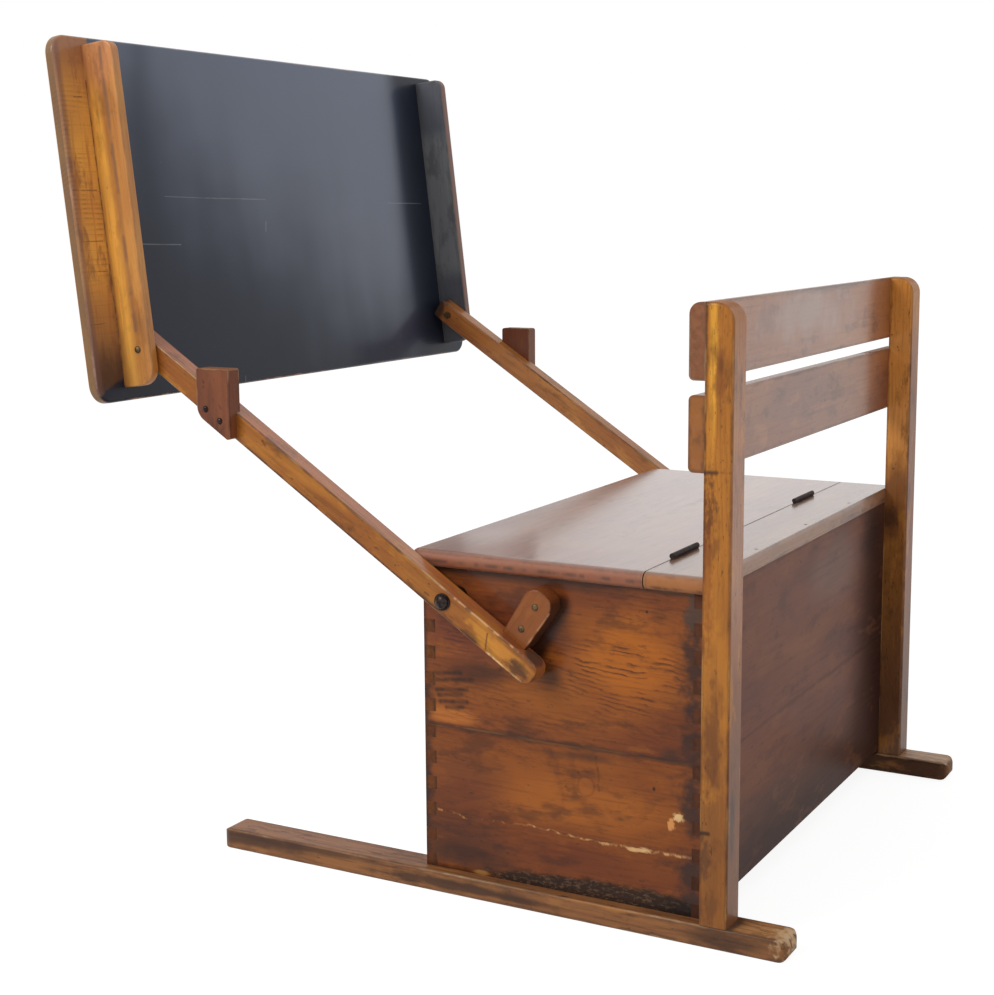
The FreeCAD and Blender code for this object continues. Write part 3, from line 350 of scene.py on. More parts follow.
sideUpperMarks = [
    figure((chestX, 0.215, 0.243), (0.10, 0.045), 0.85),
    figure((chestX, 0.14, 0.205), (0.05, 0.025), 0.5),
    figure((chestX, 0.045, 0.262), (0.05, 0.02), 0.6),
] + onFace(toLeft, [
    glow((chestX, 0.225, 0.262), (0.06, 0.052), (186, 104, 26), 0.75, coarse=20),
    glow((chestX, 0.03, 0.183), (0.035, 0.01), (196, 116, 48), 0.7, coarse=30),
    glow((chestX, 0.07, 0.28), (0.09, 0.05), (118, 60, 40), 0.7, coarse=20),
    # painted shadow along the top of the side, under the lid's overhang
    stainAndShadow((chestX, 0.12, 0.333), (0.16, 0.012), (58, 36, 28), 0.7, coarse=40),
    stainAndShadow((chestX, 0.180, 0.168), (0.05, 0.006), (60, 36, 26), 0.7, coarse=70, ragged=1.6, soft=0.9),
    stainAndShadow((chestX, 0.268, 0.172), (0.018, 0.012), (58, 38, 30), 0.75, coarse=110, ragged=1.6, soft=0.8),
    # painted shadow cast by the stop bracket, to its right and below it
    stroke((chestX, 0.154, 0.308), (chestX, 0.128, 0.262), 0.026, (34, 18, 14), 0.85, core=0.2),
    # painted shadow below the arm's tail
    stainAndShadow((chestX, 0.143, 0.238), (0.016, 0.014), (44, 24, 16), 0.7, coarse=60, ragged=0.8, soft=0.9),
    glow((chestX, 0.06, 0.23), (0.045, 0.014), (64, 32, 20), 0.7, coarse=60, ragged=1.6, soft=0.9),
    stainAndShadow((chestX, 0.292, 0.262), (0.016, 0.055), (50, 34, 30), 0.85, coarse=90, stretch=1, ragged=2.2,
          soft=0.8),
    stainAndShadow((chestX, 0.292, 0.19), (0.014, 0.03), (50, 34, 30), 0.8, coarse=90, stretch=1, ragged=2.2,
          soft=0.8),
    stainAndShadow((chestX, 0.292, 0.315), (0.012, 0.018), (74, 60, 52), 0.8, coarse=120, stretch=1, ragged=1.6),
    stainAndShadow((chestX, 0.004, 0.2), (0.009, 0.05), (50, 30, 24), 0.8, coarse=90, stretch=1, ragged=1.8,
          soft=0.8),
    stainAndShadow((chestX, 0.2439, 0.311), (0.0016, 0.0016), dark, 0.9),
])
for y, z, length in ((0.0136, 0.2176, 0.043), (0.0158, 0.2076, 0.034), (0.0203, 0.1958, 0.030),
                     (0.0272, 0.1906, 0.018), (0.018, 0.2025, 0.025), (0.0136, 0.2245, 0.03)):
    sideUpperMarks.append(stroke((chestX, y, z), (chestX, y + length, z + length * 0.1), 0.0068,
                                 (44, 25, 18), 0.8, wander=0.004, gaps=0.7, way=toLeft))
sideLowerMarks = onFace(toLeft, [
    {"kind": "knot", "at": (chestX, 0.1813, 0.1331), "size": 0.0092, "hill": 1.6,
     "heart": (158, 88, 34), "rim": (80, 44, 24), "show": 0.28},
    glow((chestX, 0.17, 0.112), (0.11, 0.03), (170, 96, 32), 0.75, coarse=18),
    glow((chestX, 0.04, 0.12), (0.06, 0.04), (104, 54, 32), 0.6, coarse=18),
    glow((chestX, 0.04, 0.055), (0.06, 0.03), (84, 44, 28), 0.7, coarse=24),
    stainAndShadow((chestX, 0.180, 0.162), (0.045, 0.006), (60, 36, 26), 0.65, coarse=70, ragged=1.6, soft=0.9),
    stroke((chestX, 0.1925, 0.164), (chestX, 0.1945, 0.130), 0.0036, dark, 0.5, wander=0.008, gaps=0.2),
    stroke((chestX, 0.008, 0.0825), (chestX, 0.2944, 0.0795), 0.0018, (58, 34, 24), 0.6, wander=0.008,
           gaps=0.5, step=40, deep=0.0002),
    stroke((chestX, 0.0118, 0.083), (chestX, 0.046, 0.079), 0.0032, (204, 138, 72), 0.7, wander=0.008,
           gaps=0.0, step=220),
    stroke((chestX, 0.046, 0.0785), (chestX, 0.122, 0.083), 0.0022, (190, 124, 66), 0.55, wander=0.01,
           gaps=0.1, step=160),
    stroke((chestX, 0.118, 0.083), (chestX, 0.2, 0.0785), 0.0027, (216, 160, 104), 0.8, wander=0.009,
           gaps=0.2, step=190),
    stroke((chestX, 0.2, 0.0785), (chestX, 0.2965, 0.0800), 0.0038, (222, 170, 112), 0.85, wander=0.010,
           gaps=0.4, step=200),
    stainAndShadow((chestX, 0.238, 0.0786), (0.014, 0.0026), (226, 180, 124), 0.8, coarse=260, ragged=2.4,
          soft=0.5),
    stainAndShadow((chestX, 0.2776, 0.1175), (0.0060, 0.0046), (232, 190, 132), 0.95, coarse=300, ragged=1.8,
          soft=0.35, stretch=1),
    stainAndShadow((chestX, 0.2700, 0.1090), (0.0038, 0.0062), (220, 150, 84), 0.9, coarse=300, ragged=1.8,
          soft=0.4, stretch=1),
    stainAndShadow((chestX, 0.2523, 0.1414), (0.0016, 0.0022), dark, 0.9),
    stainAndShadow((chestX, 0.292, 0.13), (0.015, 0.04), (52, 36, 32), 0.85, coarse=90, stretch=1, ragged=2.2,
          soft=0.8),
    stainAndShadow((chestX, 0.290, 0.055), (0.014, 0.035), (52, 36, 32), 0.85, coarse=90, stretch=1, ragged=2.2,
          soft=0.8),
    stainAndShadow((chestX, 0.004, 0.1), (0.008, 0.09), (50, 30, 24), 0.75, coarse=90, stretch=1, ragged=1.8,
          soft=0.8),
    stainAndShadow((chestX, 0.045, 0.040), (0.06, 0.016), (50, 28, 20), 0.7, coarse=60, ragged=1.2, soft=0.9),
    stainAndShadow((chestX, 0.205, 0.012), (0.155, 0.030), (50, 38, 32), 0.95, coarse=70, ragged=0.7, soft=0.18,
          grit=(104, 82, 64), deep=0.0008, duller=0.3),
    stainAndShadow((chestX, 0.285, 0.022), (0.03, 0.018), (36, 28, 26), 0.8, coarse=90, ragged=1.2, soft=0.7),
    stainAndShadow((chestX, 0.065, 0.0245), (0.010, 0.003), (170, 122, 66), 0.8, coarse=150),
])
for side in ("left", "right"):
    upper, lower = (sideUpperMarks, sideLowerMarks) if side == "left" else ((), ())
    finishWood(node["chest_side_upper_" + side], chestSideUpper, alongY, alongZ, upper)
    finishWood(node["chest_side_lower_" + side], chestSideLower, alongY, alongZ, lower)
for name in ("chest_front_upper", "chest_front_lower"):
    finishWood(node[name], chestFront, alongX, alongZ)
rearMarks = [
    glow((0.132, backY, 0.131), (0.10, 0.04), (128, 74, 46), 0.7, coarse=14, ragged=1.0),
    glow((-0.03, backY, 0.09), (0.13, 0.06), (116, 68, 46), 0.5, coarse=14, ragged=1.2),
    # painted sheen: paler and greyer near the top
    glow((-0.10, backY, 0.285), (0.10, 0.04), (128, 98, 86), 0.6, coarse=10, ragged=0.8),
    stainAndShadow((-0.225, backY, 0.30), (0.045, 0.05), (44, 28, 26), 0.75, coarse=20, soft=0.9, ragged=0.8),
    stainAndShadow((0.2, backY, 0.03), (0.14, 0.03), (58, 36, 32), 0.6, coarse=16, soft=0.9),
    # painted shade at the far end and along the bottom, where the varnish also reflects less
    glow((-0.25, backY, 0.18), (0.10, 0.30), (40, 24, 20), 0.9, coarse=8, soft=0.9, ragged=0.3),
    glow((0.0, backY, 0.02), (0.5, 0.11), (50, 33, 28), 0.85, coarse=8, soft=0.9, ragged=0.3),
    sheen((0.0, backY, 0.02), (0.5, 0.11), -0.08, coarse=8, soft=0.9, ragged=0.3),
    sheen((-0.26, backY, 0.15), (0.12, 0.30), -0.2, coarse=8, soft=0.9, ragged=0.3),
    sheen((0.05, backY, 0.31), (0.22, 0.08), 0.04, coarse=8, soft=0.9, ragged=0.3),
]
for name in ("chest_back_upper", "chest_back_lower"):
    finishWood(node[name], chestBack, alongX, alongZ, rearMarks)
finishWood(node["chest_bottom"], chestBottom, alongX, alongY)
print("chest done")

# the lid and the plank behind it
seat = {
    "base": (140, 92, 66), "ring": (92, 56, 42), "red": (116, 70, 54), "gold": (164, 112, 72),
    "grime": (62, 40, 34), "worn": (196, 150, 110), "end": (148, 84, 46),
    "ringEvery": 0.010, "bend": 0.012, "depth": 0.02, "tilt": 0.05, "ringShow": 0.25, "redShow": 0.5,
    "goldShow": 0.4, "fibreShow": 0.14, "poreShow": 0.1, "nickShow": 0.2, "dirtWide": 0.004,
    "dirtShow": 0.45, "blotShow": 0.3, "wornShow": 0.35, "endShow": 0.7, "dentDeep": 0.00015,
    "rough": 0.4, "coat": 1.0, "coatRough": 0.16, "coatIOR": 1.6, "ior": 1.6,
}
seatMarks = [
    glow((0.26, 0.10, 0.35), (0.05, 0.13), (120, 64, 46), 0.6, coarse=18),
    sheen((0.29, 0.0, 0.35), (0.10, 0.16), -0.5, coarse=12, soft=0.9),
    glow((0.098, -0.01, 0.35), (0.16, 0.03), (104, 64, 58), 0.6, coarse=22),
    sheen((0.098, 0.0, 0.35), (0.16, 0.035), -0.3, coarse=22),
    glow((lidX, 0.10, 0.342), (0.1, 0.4), (138, 80, 58), 0.8, coarse=30, soft=0.2, way=toLeft),
    sheen((lidX, 0.10, 0.342), (0.1, 0.4), -0.45, coarse=30, soft=0.2, way=toLeft),
    stroke((lidX, -0.02, 0.3405), (lidX, 0.243, 0.3405), 0.0060, (56, 30, 22), 0.75, wander=0.008,
           gaps=0.2, step=60, way=toLeft),
    stroke((lidX, -0.02, 0.3345), (lidX, 0.243, 0.3345), 0.0040, (40, 24, 20), 0.8, way=toLeft),
    stroke((0.299, -0.01, 0.350), (0.299, 0.243, 0.350), 0.0050, (170, 104, 66), 0.6, wander=0.004,
           gaps=0.1, step=60),
]
finishWood(node["seat_lid"], dict(seat, aside=0.02), alongX, alongY, seatMarks)
plankMarks = [
    sheen((0.0, backY, 0.339), (0.6, 0.012), -0.75, coarse=12, ragged=0.2, way=toBack),
    glow((lidX, 0.27, 0.342), (0.1, 0.4), (170, 112, 72), 0.85, coarse=30, soft=0.2, way=toLeft),
    sheen((lidX, 0.27, 0.342), (0.1, 0.4), -0.4, coarse=30, soft=0.2, way=toLeft),
    stroke((lidX, 0.250, 0.336), (lidX, 0.300, 0.336), 0.0060, (48, 30, 24), 0.8, wander=0.006, gaps=0.2,
           way=toLeft),
    stroke((-0.10, backY, 0.337), (-0.28, backY, 0.337), 0.0060, (74, 46, 40), 0.7, wander=0.008,
           gaps=0.1, step=50, way=toBack),
]
plank = dict(seat, aside=-0.04, base=(132, 92, 64), end=(164, 102, 50), ior=1.4)
finishWood(node["seat_plank"], plank, alongX, alongY, plankMarks)
print("seat done")

# runners, posts and slats
post = {
    "base": (176, 111, 42), "ring": (112, 64, 28), "red": (146, 82, 34), "gold": (206, 134, 48),
    "grime": (58, 36, 26), "worn": (226, 168, 92), "end": (150, 92, 50),
    "ringEvery": 0.0045, "bend": 0.006, "wave": 0.005, "depth": 0.05, "aside": 0.02, "tilt": 0.02,
    "broken": 16, "ringShow": 0.3, "redShow": 0.6, "goldShow": 0.6, "fibreShow": 0.35,
    "poreShow": 0.55, "nickShow": 0.6, "blotShow": 0.5, "dirtWide": 0.003, "dirtShow": 0.6,
    "wornWide": 0.002, "wornShow": 0.35, "coat": 0.25, "coatRough": 0.25, "ior": 1.2,
}
runner = dict(post, base=(142, 94, 56), ring=(88, 52, 34), red=(114, 70, 44), gold=(166, 112, 64),
              worn=(206, 170, 126), end=(108, 76, 52), ringShow=0.55, fibreShow=0.6, poreShow=0.7,
              nickShow=0.7, blotShow=0.55, fleckShow=0.6, dirtWide=0.006, wornWide=0.0025,
              wornShow=0.5, rough=0.5, coat=0.3, coatRough=0.35)
slat = {
    "base": (158, 104, 72), "ring": (104, 64, 48), "red": (138, 84, 58), "gold": (176, 120, 80),
    "grime": (72, 48, 38), "worn": (206, 168, 132), "end": (128, 84, 54),
    "ringEvery": 0.009, "bend": 0.010, "depth": 0.02, "tilt": 0.05, "ringShow": 0.3, "redShow": 0.5,
    "goldShow": 0.4, "fibreShow": 0.25, "poreShow": 0.3, "nickShow": 0.35, "dirtWide": 0.004,
    "dirtShow": 0.5, "wornShow": 0.3, "coat": 0.75, "coatRough": 0.25, "broken": 14, "blotShow": 0.55,
}
postMarks = [
    stroke((frameX, 0.3050, 0.354), (frameX, 0.3050, 0.600), 0.0030, (66, 38, 24), 0.7, wander=0.002,
           gaps=0.5, way=toLeft),
    stainAndShadow((frameX, 0.3085, 0.36), (0.085, 0.0060), (138, 72, 32), 0.5, coarse=300, ragged=3.2, soft=0.8,
          way=toLeft),
    stainAndShadow((frameX, 0.3100, 0.415), (0.030, 0.0055), (76, 42, 26), 0.6, coarse=340, ragged=3.4, soft=0.7,
          way=toLeft),
    stainAndShadow((frameX, 0.3180, 0.535), (0.030, 0.006), (128, 72, 34), 0.65, coarse=140, ragged=1.8,
          way=toLeft),
    stainAndShadow((frameX, 0.3150, 0.20), (0.05, 0.008), (96, 54, 30), 0.6, coarse=160, ragged=2.2, way=toLeft),
    sheen((0.2885, 0.334, 0.45), (0.16, 0.05), 0.35, coarse=10, way=toBack),
    glow((0.2885, 0.334, 0.35), (0.26, 0.05), (158, 104, 72), 0.7, coarse=20, way=toBack),
    glow((frameX, 0.312, 0.56), (0.10, 0.0045), (236, 168, 58), 0.9, coarse=60, way=toLeft),
    stainAndShadow((frameX, 0.3190, 0.5431), (0.008, 0.0035), (98, 56, 28), 0.5, coarse=200, way=toLeft),
    glow((frameX, 0.316, 0.10), (0.22, 0.03), (124, 76, 40), 0.75, coarse=20, soft=0.9),
    stroke((frameX, 0.3022, 0.4478), (frameX, 0.3160, 0.4488), 0.0060, (46, 28, 22), 0.85, wander=0.006,
           step=200, way=toLeft),
    stroke((frameX, 0.3180, 0.4488), (frameX, 0.3307, 0.4493), 0.0030, (52, 32, 24), 0.6, wander=0.006,
           gaps=0.1, way=toLeft),
    stroke((frameX, 0.3042, 0.1108), (frameX, 0.3120, 0.1118), 0.0056, (44, 28, 22), 0.85, wander=0.004,
           way=toLeft, core=0.1),
    stainAndShadow((frameX, 0.3094, 0.0862), (0.02, 0.006), (70, 44, 32), 0.6, coarse=260, ragged=2.2, way=toLeft),
    stainAndShadow((0.2937, 0.331, 0.12), (0.035, 0.008), (58, 42, 36), 0.8, coarse=40, way=toBack),
    glow((0.2885, 0.331, 0.03), (0.25, 0.05), (96, 58, 42), 0.7, coarse=20, way=toBack),
]
farPostMarks = [
    # painted light on the far post, which lies in shade, around the seat's height
    glow((-0.272, 0.317, 0.47), (0.16, 0.05), (222, 150, 76), 0.9, coarse=12, soft=0.6),
    glow((-0.29, 0.31, 0.08), (0.26, 0.2), (84, 56, 44), 0.85, coarse=12, soft=0.9),
    stainAndShadow((-0.272, 0.317, 0.34), (0.06, 0.02), (84, 44, 28), 0.7, coarse=60, ragged=1.4),
    stainAndShadow((-0.272, 0.312, 0.315), (0.018, 0.008), (60, 36, 28), 0.6, coarse=120, ragged=2.0),
    glow((-0.2885, 0.334, 0.40), (0.24, 0.05), (128, 82, 60), 0.9, coarse=12, way=toBack),
]
slatMarks = [
    stainAndShadow((0.02, backY, 0.575), (0.14, 0.030), (172, 152, 144), 0.6, coarse=26, ragged=2.0, stretch=1,
          soft=0.9, way=toBack),
    stainAndShadow((-0.06, backY, 0.600), (0.13, 0.006), (92, 66, 60), 0.75, coarse=30, ragged=1.6, soft=0.9,
          way=toBack),
    stainAndShadow((0.15, backY, 0.573), (0.03, 0.018), (120, 86, 74), 0.5, coarse=70, ragged=2.2, stretch=1,
          way=toBack),
    glow((0.05, backY, 0.49), (0.14, 0.03), (128, 86, 74), 0.6, coarse=20, ragged=1.4, way=toBack),
    # a painted change of reflection: at the far ends the sheen stops and the colour turns orange-brown,
    # darker on the lower slat
    glow((-0.27, backY, 0.52), (0.085, 0.2), (150, 92, 52), 0.9, coarse=6, soft=0.35, ragged=0.2),
    sheen((-0.27, backY, 0.52), (0.085, 0.2), -0.75, coarse=6, soft=0.35, ragged=0.2),
    glow((-0.27, backY, 0.45), (0.085, 0.06), (116, 68, 48), 0.8, coarse=6, soft=0.6, ragged=0.2),
    stainAndShadow((-0.036, backY, 0.479), (0.0018, 0.0018), dark, 0.8),
]
runnerMarks = [
    glow((0.30, -0.31, 0.02), (0.06, 0.05), (92, 62, 46), 0.8, coarse=20),
    stainAndShadow((frameX, 0.05, 0.010), (0.12, 0.006), (56, 36, 28), 0.8, coarse=60, ragged=1.8, way=toLeft),
    stainAndShadow((frameX, 0.22, 0.024), (0.10, 0.006), (176, 118, 62), 0.7, coarse=60, ragged=2.0, way=toLeft),
    stainAndShadow((frameX, -0.22, 0.014), (0.10, 0.008), (58, 38, 30), 0.75, coarse=50, ragged=1.6, way=toLeft),
    stainAndShadow((0.30, 0.15, 0.035), (0.14, 0.004), (56, 38, 30), 0.7, coarse=50, ragged=1.2, way=toTop),
    stainAndShadow((0.2865, 0.383, 0.026), (0.010, 0.024), (206, 172, 130), 0.8, coarse=160, ragged=3.0, stretch=1,
          soft=0.6),
    glow((0.29, 0.36, 0.035), (0.03, 0.03), (186, 136, 88), 0.8, coarse=30, way=toTop),
    glow((0.29, -0.15, 0.035), (0.18, 0.03), (158, 112, 84), 0.7, coarse=20, way=toTop),
    stainAndShadow((frameX, 0.33, 0.012), (0.05, 0.009), (58, 38, 28), 0.7, coarse=60, way=toLeft),
    stainAndShadow((0.2885, 0.333, 0.022), (0.006, 0.03), (50, 34, 28), 0.7, coarse=60, way=toTop),
    stainAndShadow((frameX, -0.15, 0.0175), (0.12, 0.004), (60, 38, 30), 0.7, coarse=60, way=toLeft),
]
farRunnerMarks = [
    # painted shade on the far runner's left face, and a painted sheen on its top at the back end
    glow((-0.27, 0.35, 0.014), (0.5, 0.4), (66, 46, 36), 0.9, coarse=10, way=toLeft),
    sheen((-0.27, 0.35, 0.014), (0.5, 0.4), -0.3, coarse=10, way=toLeft),
    glow((-0.29, 0.37, 0.035), (0.05, 0.05), (216, 176, 140), 0.9, coarse=20, way=toTop),
]
for side in ("left", "right"):
    near = side == "left"
    finishWood(node["post_" + side], post, alongZ, alongX, postMarks if near else farPostMarks)
    finishWood(node["runner_" + side], runner, alongY, alongX, runnerMarks if near else farRunnerMarks)
lowerSlat = dict(slat, base=(144, 94, 64), end=(156, 94, 30), coat=0.6)
finishWood(node["back_slat_upper"], dict(slat, end=(120, 68, 34)), alongX, alongZ, slatMarks)
finishWood(node["back_slat_lower"], lowerSlat, alongX, alongZ, slatMarks)
print("frame done")

# arms with their stops
armSlope = math.radians(33.1)
armAlong = Vector((0, math.cos(armSlope), -math.sin(armSlope)))
armAcross = Vector((0, math.sin(armSlope), math.cos(armSlope)))
armX = 0.324                        # left face of the left arm
armBolt = Vector((0, 0.042, 0.306))
arm = {
    "base": (154, 92, 38), "ring": (88, 47, 23), "red": (112, 57, 27), "gold": (192, 126, 46),
    "grime": (54, 32, 22), "worn": (224, 176, 112), "end": (146, 92, 52),
    "ringEvery": 0.005, "bend": 0.006, "depth": 0.05, "aside": 0.03, "tilt": 0.02, "ringShow": 0.3,
    "redShow": 0.7, "goldShow": 0.7, "fibreShow": 0.35, "poreShow": 0.45, "nickShow": 0.55,
    "dirtWide": 0.0026, "dirtShow": 0.75, "wornWide": 0.0018, "wornShow": 0.5, "blotShow": 0.6,
    "fleckShow": 0.6, "broken": 16, "coat": 0.35, "coatRough": 0.22, "ior": 1.15,
}
farArm = dict(arm, base=(178, 112, 56), red=(140, 80, 44), gold=(208, 142, 70), blotShow=0.4, coat=0.5)
bracket = dict(arm, base=(140, 80, 38), ring=(96, 50, 26), red=(124, 64, 32), gold=(160, 96, 42),
               worn=(204, 144, 92), end=(118, 60, 32), nickShow=0.25, poreShow=0.1, dirtShow=0.45,
               wornWide=0.0014, wornShow=0.7, blotShow=0.4, fleckShow=0.4)
block = dict(arm, base=(116, 66, 42), ring=(84, 44, 32), red=(98, 52, 38), gold=(138, 80, 50),
             grime=(44, 28, 24), worn=(176, 130, 92), end=(150, 102, 70), ringShow=0.1, dirtShow=0.5,
             wornShow=0.6)


def onArm(along, across, x=armX):
    # along the arm from its bolt, and across from its middle line
    return Vector((x, 0, 0)) + armBolt + armAlong * along + armAcross * across


armSheen = sheen(onArm(-0.15, 0.015), (0.8, 0.4), 0.6, coarse=8, soft=0.2, way=armAcross)
# painted sheen: the arm's top face lightened as if it reflected the bright room
armTopPaintedSheen = glow(onArm(-0.15, 0.015), (0.8, 0.4), (184, 108, 66), 0.75, coarse=8, soft=0.2, way=armAcross)
bracketMarks = [
    # painted shade on the bracket's side walls
    stainAndShadow(onArm(0.0955, 0.035, 0.305), (0.08, 0.03), (54, 32, 24), 0.8, coarse=60, ragged=0.3, soft=0.3,
          way=armAlong),
    stroke(onArm(0.0925, 0.018, 0.3130), onArm(0.0945, 0.058, 0.3130), 0.0040, (196, 140, 98), 0.8,
           wander=0.002, gaps=0.2),
]
armMarks = [
    armSheen, armTopPaintedSheen,
    stainAndShadow(onArm(0.0785, 0.015, 0.314), (0.0145, 0.011), (132, 72, 38), 0.9, coarse=90, ragged=0.3,
          soft=0.15, way=armAcross),
    stainAndShadow(onArm(0.106, 0.015, 0.313), (0.014, 0.012), (70, 56, 48), 0.8, coarse=90, ragged=0.6, soft=0.3,
          way=armAcross),
    stroke(onArm(0.066, -0.0120), onArm(0.108, -0.0120), 0.0056, (236, 192, 132), 0.9, wander=0.003,
           gaps=0.4, step=120, core=0.2),
    stainAndShadow(onArm(0.100, -0.004), (0.014, 0.007), (74, 44, 28), 0.75, coarse=220, ragged=2.6, way=toLeft),
    glow(onArm(0.058, 0.0), (0.024, 0.010), (206, 140, 50), 0.8, coarse=160, ragged=2.4, way=toLeft),
    stroke(onArm(-0.02, 0.0118), onArm(0.10, 0.0118), 0.0036, (222, 166, 112), 0.85, wander=0.002,
           gaps=0.1),
    stroke(onArm(-0.36, -0.0105), onArm(0.05, -0.0105), 0.0036, (62, 36, 24), 0.8, wander=0.002, gaps=0.1,
           step=50, way=toLeft),
    stroke((armX, 0.0915, 0.2800), (armX, 0.0895, 0.2650), 0.0024, (62, 38, 22), 0.75, wander=0.003,
           way=toLeft),
    glow((armX, 0.112, 0.262), (0.03, 0.008), (206, 136, 52), 0.8, coarse=90, way=toLeft),
    stainAndShadow((armX, 0.125, 0.252), (0.012, 0.006), (70, 44, 26), 0.6, coarse=160, ragged=1.8, way=toLeft),
    stainAndShadow((armX, 0.0724, 0.2760), (0.012, 0.004), (66, 40, 26), 0.6, coarse=160, ragged=1.6, way=toLeft),
]
farArmMarks = [
    armSheen, armTopPaintedSheen,
    stainAndShadow((-0.308, -0.334, 0.552), (0.016, 0.03), (40, 36, 36), 0.85, coarse=90, ragged=1.2, soft=0.4),
]
for side in ("left", "right"):
    near = side == "left"
    look, marks = (arm, armMarks) if near else (farArm, farArmMarks)
    finishWood(node["arm_" + side], look, armAlong, armAcross, marks)
    finishWood(node["stop_bracket_" + side], bracket, armAcross, armAlong, bracketMarks)
    finishWood(node["stop_block_" + side], block, alongZ, alongY)
print("arms done")

# the desktop: blackboard paint on the sitter's side, with bare wood left at its near margin
lean = math.radians(6.7)
rise = Vector((0, -math.sin(lean), math.cos(lean)))    # up the desktop's boards
stand = Vector((0, math.cos(lean), math.sin(lean)))    # out of its blackboard side
pivot = Vector((0, -0.31604, 0.539404))


def onDesktop(across, up, out=-0.024):
    # across and up from the pivots, and out from their plane; the board's face is the default
    return pivot + Vector((across, 0, 0)) + rise * up + stand * out


cleat = {
    "base": (186, 124, 62), "ring": (134, 82, 42), "red": (156, 96, 50), "gold": (210, 148, 74),
    "grime": (58, 40, 32), "worn": (232, 180, 120), "end": (178, 122, 78),
    "ringEvery": 0.005, "bend": 0.005, "wave": 0.004, "tilt": 0.02, "broken": 20, "ringShow": 0.3,
    "redShow": 0.5, "goldShow": 0.6, "fibreShow": 0.35, "poreShow": 0.2, "nickShow": 0.25,
    "blotShow": 0.35, "dirtWide": 0.002, "dirtShow": 0.35, "wornWide": 0.002, "wornShow": 0.45,
    "coat": 0.4,
}
cleatX = 0.3355                     # outer face of the left cleat
cleatMarks = [
    glow(onDesktop(cleatX, 0.250, -0.0165), (0.09, 0.0070), (232, 160, 74), 0.6, coarse=90, ragged=0.7,
         stretch=0.2, soft=0.9, way=toLeft),
    glow(onDesktop(cleatX, 0.165, -0.0145), (0.14, 0.0085), (255, 190, 84), 0.9, coarse=90, ragged=0.6,
         stretch=0.2, soft=0.8, way=toLeft),
    glow(onDesktop(cleatX, 0.045, -0.0115), (0.12, 0.0085), (252, 184, 84), 0.9, coarse=90, ragged=0.6,
         stretch=0.2, soft=0.8, way=toLeft),
    glow(onDesktop(cleatX, 0.315, -0.005), (0.05, 0.03), (206, 138, 90), 0.8, coarse=30),
    stroke(onDesktop(cleatX, 0.31, 0.0005), onDesktop(cleatX, 0.02, 0.0005), 0.0070, (126, 92, 72), 0.8,
           wander=0.006, gaps=0.5, step=50, way=toLeft),
    stroke(onDesktop(cleatX, 0.28, -0.0235), onDesktop(cleatX, -0.02, -0.0235), 0.0030, (96, 58, 34), 0.7,
           wander=0.002, gaps=0.2, way=toLeft),
]
farCleat = {
    "base": (88, 91, 98), "ring": (62, 62, 66), "red": (82, 78, 78), "gold": (98, 99, 106),
    "grime": (48, 46, 46), "worn": (128, 112, 100), "end": (70, 62, 60),
    "ringEvery": 0.005, "ringShow": 0.2, "redShow": 0.3, "goldShow": 0.3, "fibreShow": 0.2,
    "poreShow": 0.1, "nickShow": 0.1, "dirtShow": 0.3, "wornShow": 0.25, "wornWide": 0.0014,
    "coat": 0.25, "coatRough": 0.3,
}
desktop = {
    "colours": {
        # paint is the satin paint where its painted reflection is bright, paintShaded where that painted
        # reflection is dark
        "paint": (62, 77, 106), "paintShaded": (28, 33, 47), "chalk": (140, 144, 150),
        "wood": (212, 148, 74), "woodLine": (146, 92, 48), "woodRed": (166, 92, 52),
        "woodGold": (228, 164, 76), "woodTop": (156, 102, 70), "woodFoot": (108, 70, 58),
        "rim": (120, 84, 74), "rimDark": (48, 36, 34), "worn": (196, 150, 128),
    },
    "ringEvery": 0.0045, "bend": 0.02, "wave": 0.002, "aside": 0.02, "depth": 0.03, "tilt": 0.04,
    "fibreHigh": 0.00004, "dentHigh": 0.00025, "rough": 0.42, "ior": 1.3,
    "paintCoat": (0.14, 1.0), "woodCoat": 0.45, "coatRough": 0.16, "coatIOR": 1.55,
    # from and to, in metres from the pivots: across
    "paintEdge": (0.3245, 0.3265), "nearRim": (0.366, 0.372), "farRim": (-0.3715, -0.3745),
    "shadeFar": (-0.285, -0.215), "shadeAt": 0.262, "nearEnd": 0.378,
    # and up
    "top": (0.25, 0.32), "low": (0.10, -0.02), "heel": (0.022, -0.03), "foot": (-0.0475, -0.0435),
    "footSlope": 0.44, "combAt": 0.17, "comb": (0.13, 0.07), "light": (-0.12, 0.40), "lightSlope": 0.55,
    "scratches": [             # start and end, across and up, and width
        ((0.2317, 0.1620), (0.1600, 0.1606), 0.0012), ((0.1600, 0.1606), (0.0501, 0.1592), 0.0018),
        ((0.2827, 0.1113), (0.2148, 0.1093), 0.0018), ((-0.2203, 0.1552), (-0.3040, 0.1546), 0.0016),
        ((0.0535, 0.1327), (0.0556, 0.1221), 0.0020), ((0.1282, -0.0440), (0.1296, -0.0520), 0.0018),
    ],
    "scores": [                # knife lines over the near margin
        ((0.3560, 0.2632), (0.3440, 0.2636), 0.0016), ((0.3745, 0.1680), (0.3400, 0.1682), 0.0016),
        ((0.3745, 0.1152), (0.3400, 0.1156), 0.0012), ((0.3729, 0.0845), (0.3382, 0.0843), 0.0012),
        ((0.3745, 0.0300), (0.3500, 0.0306), 0.0010),
    ],
}


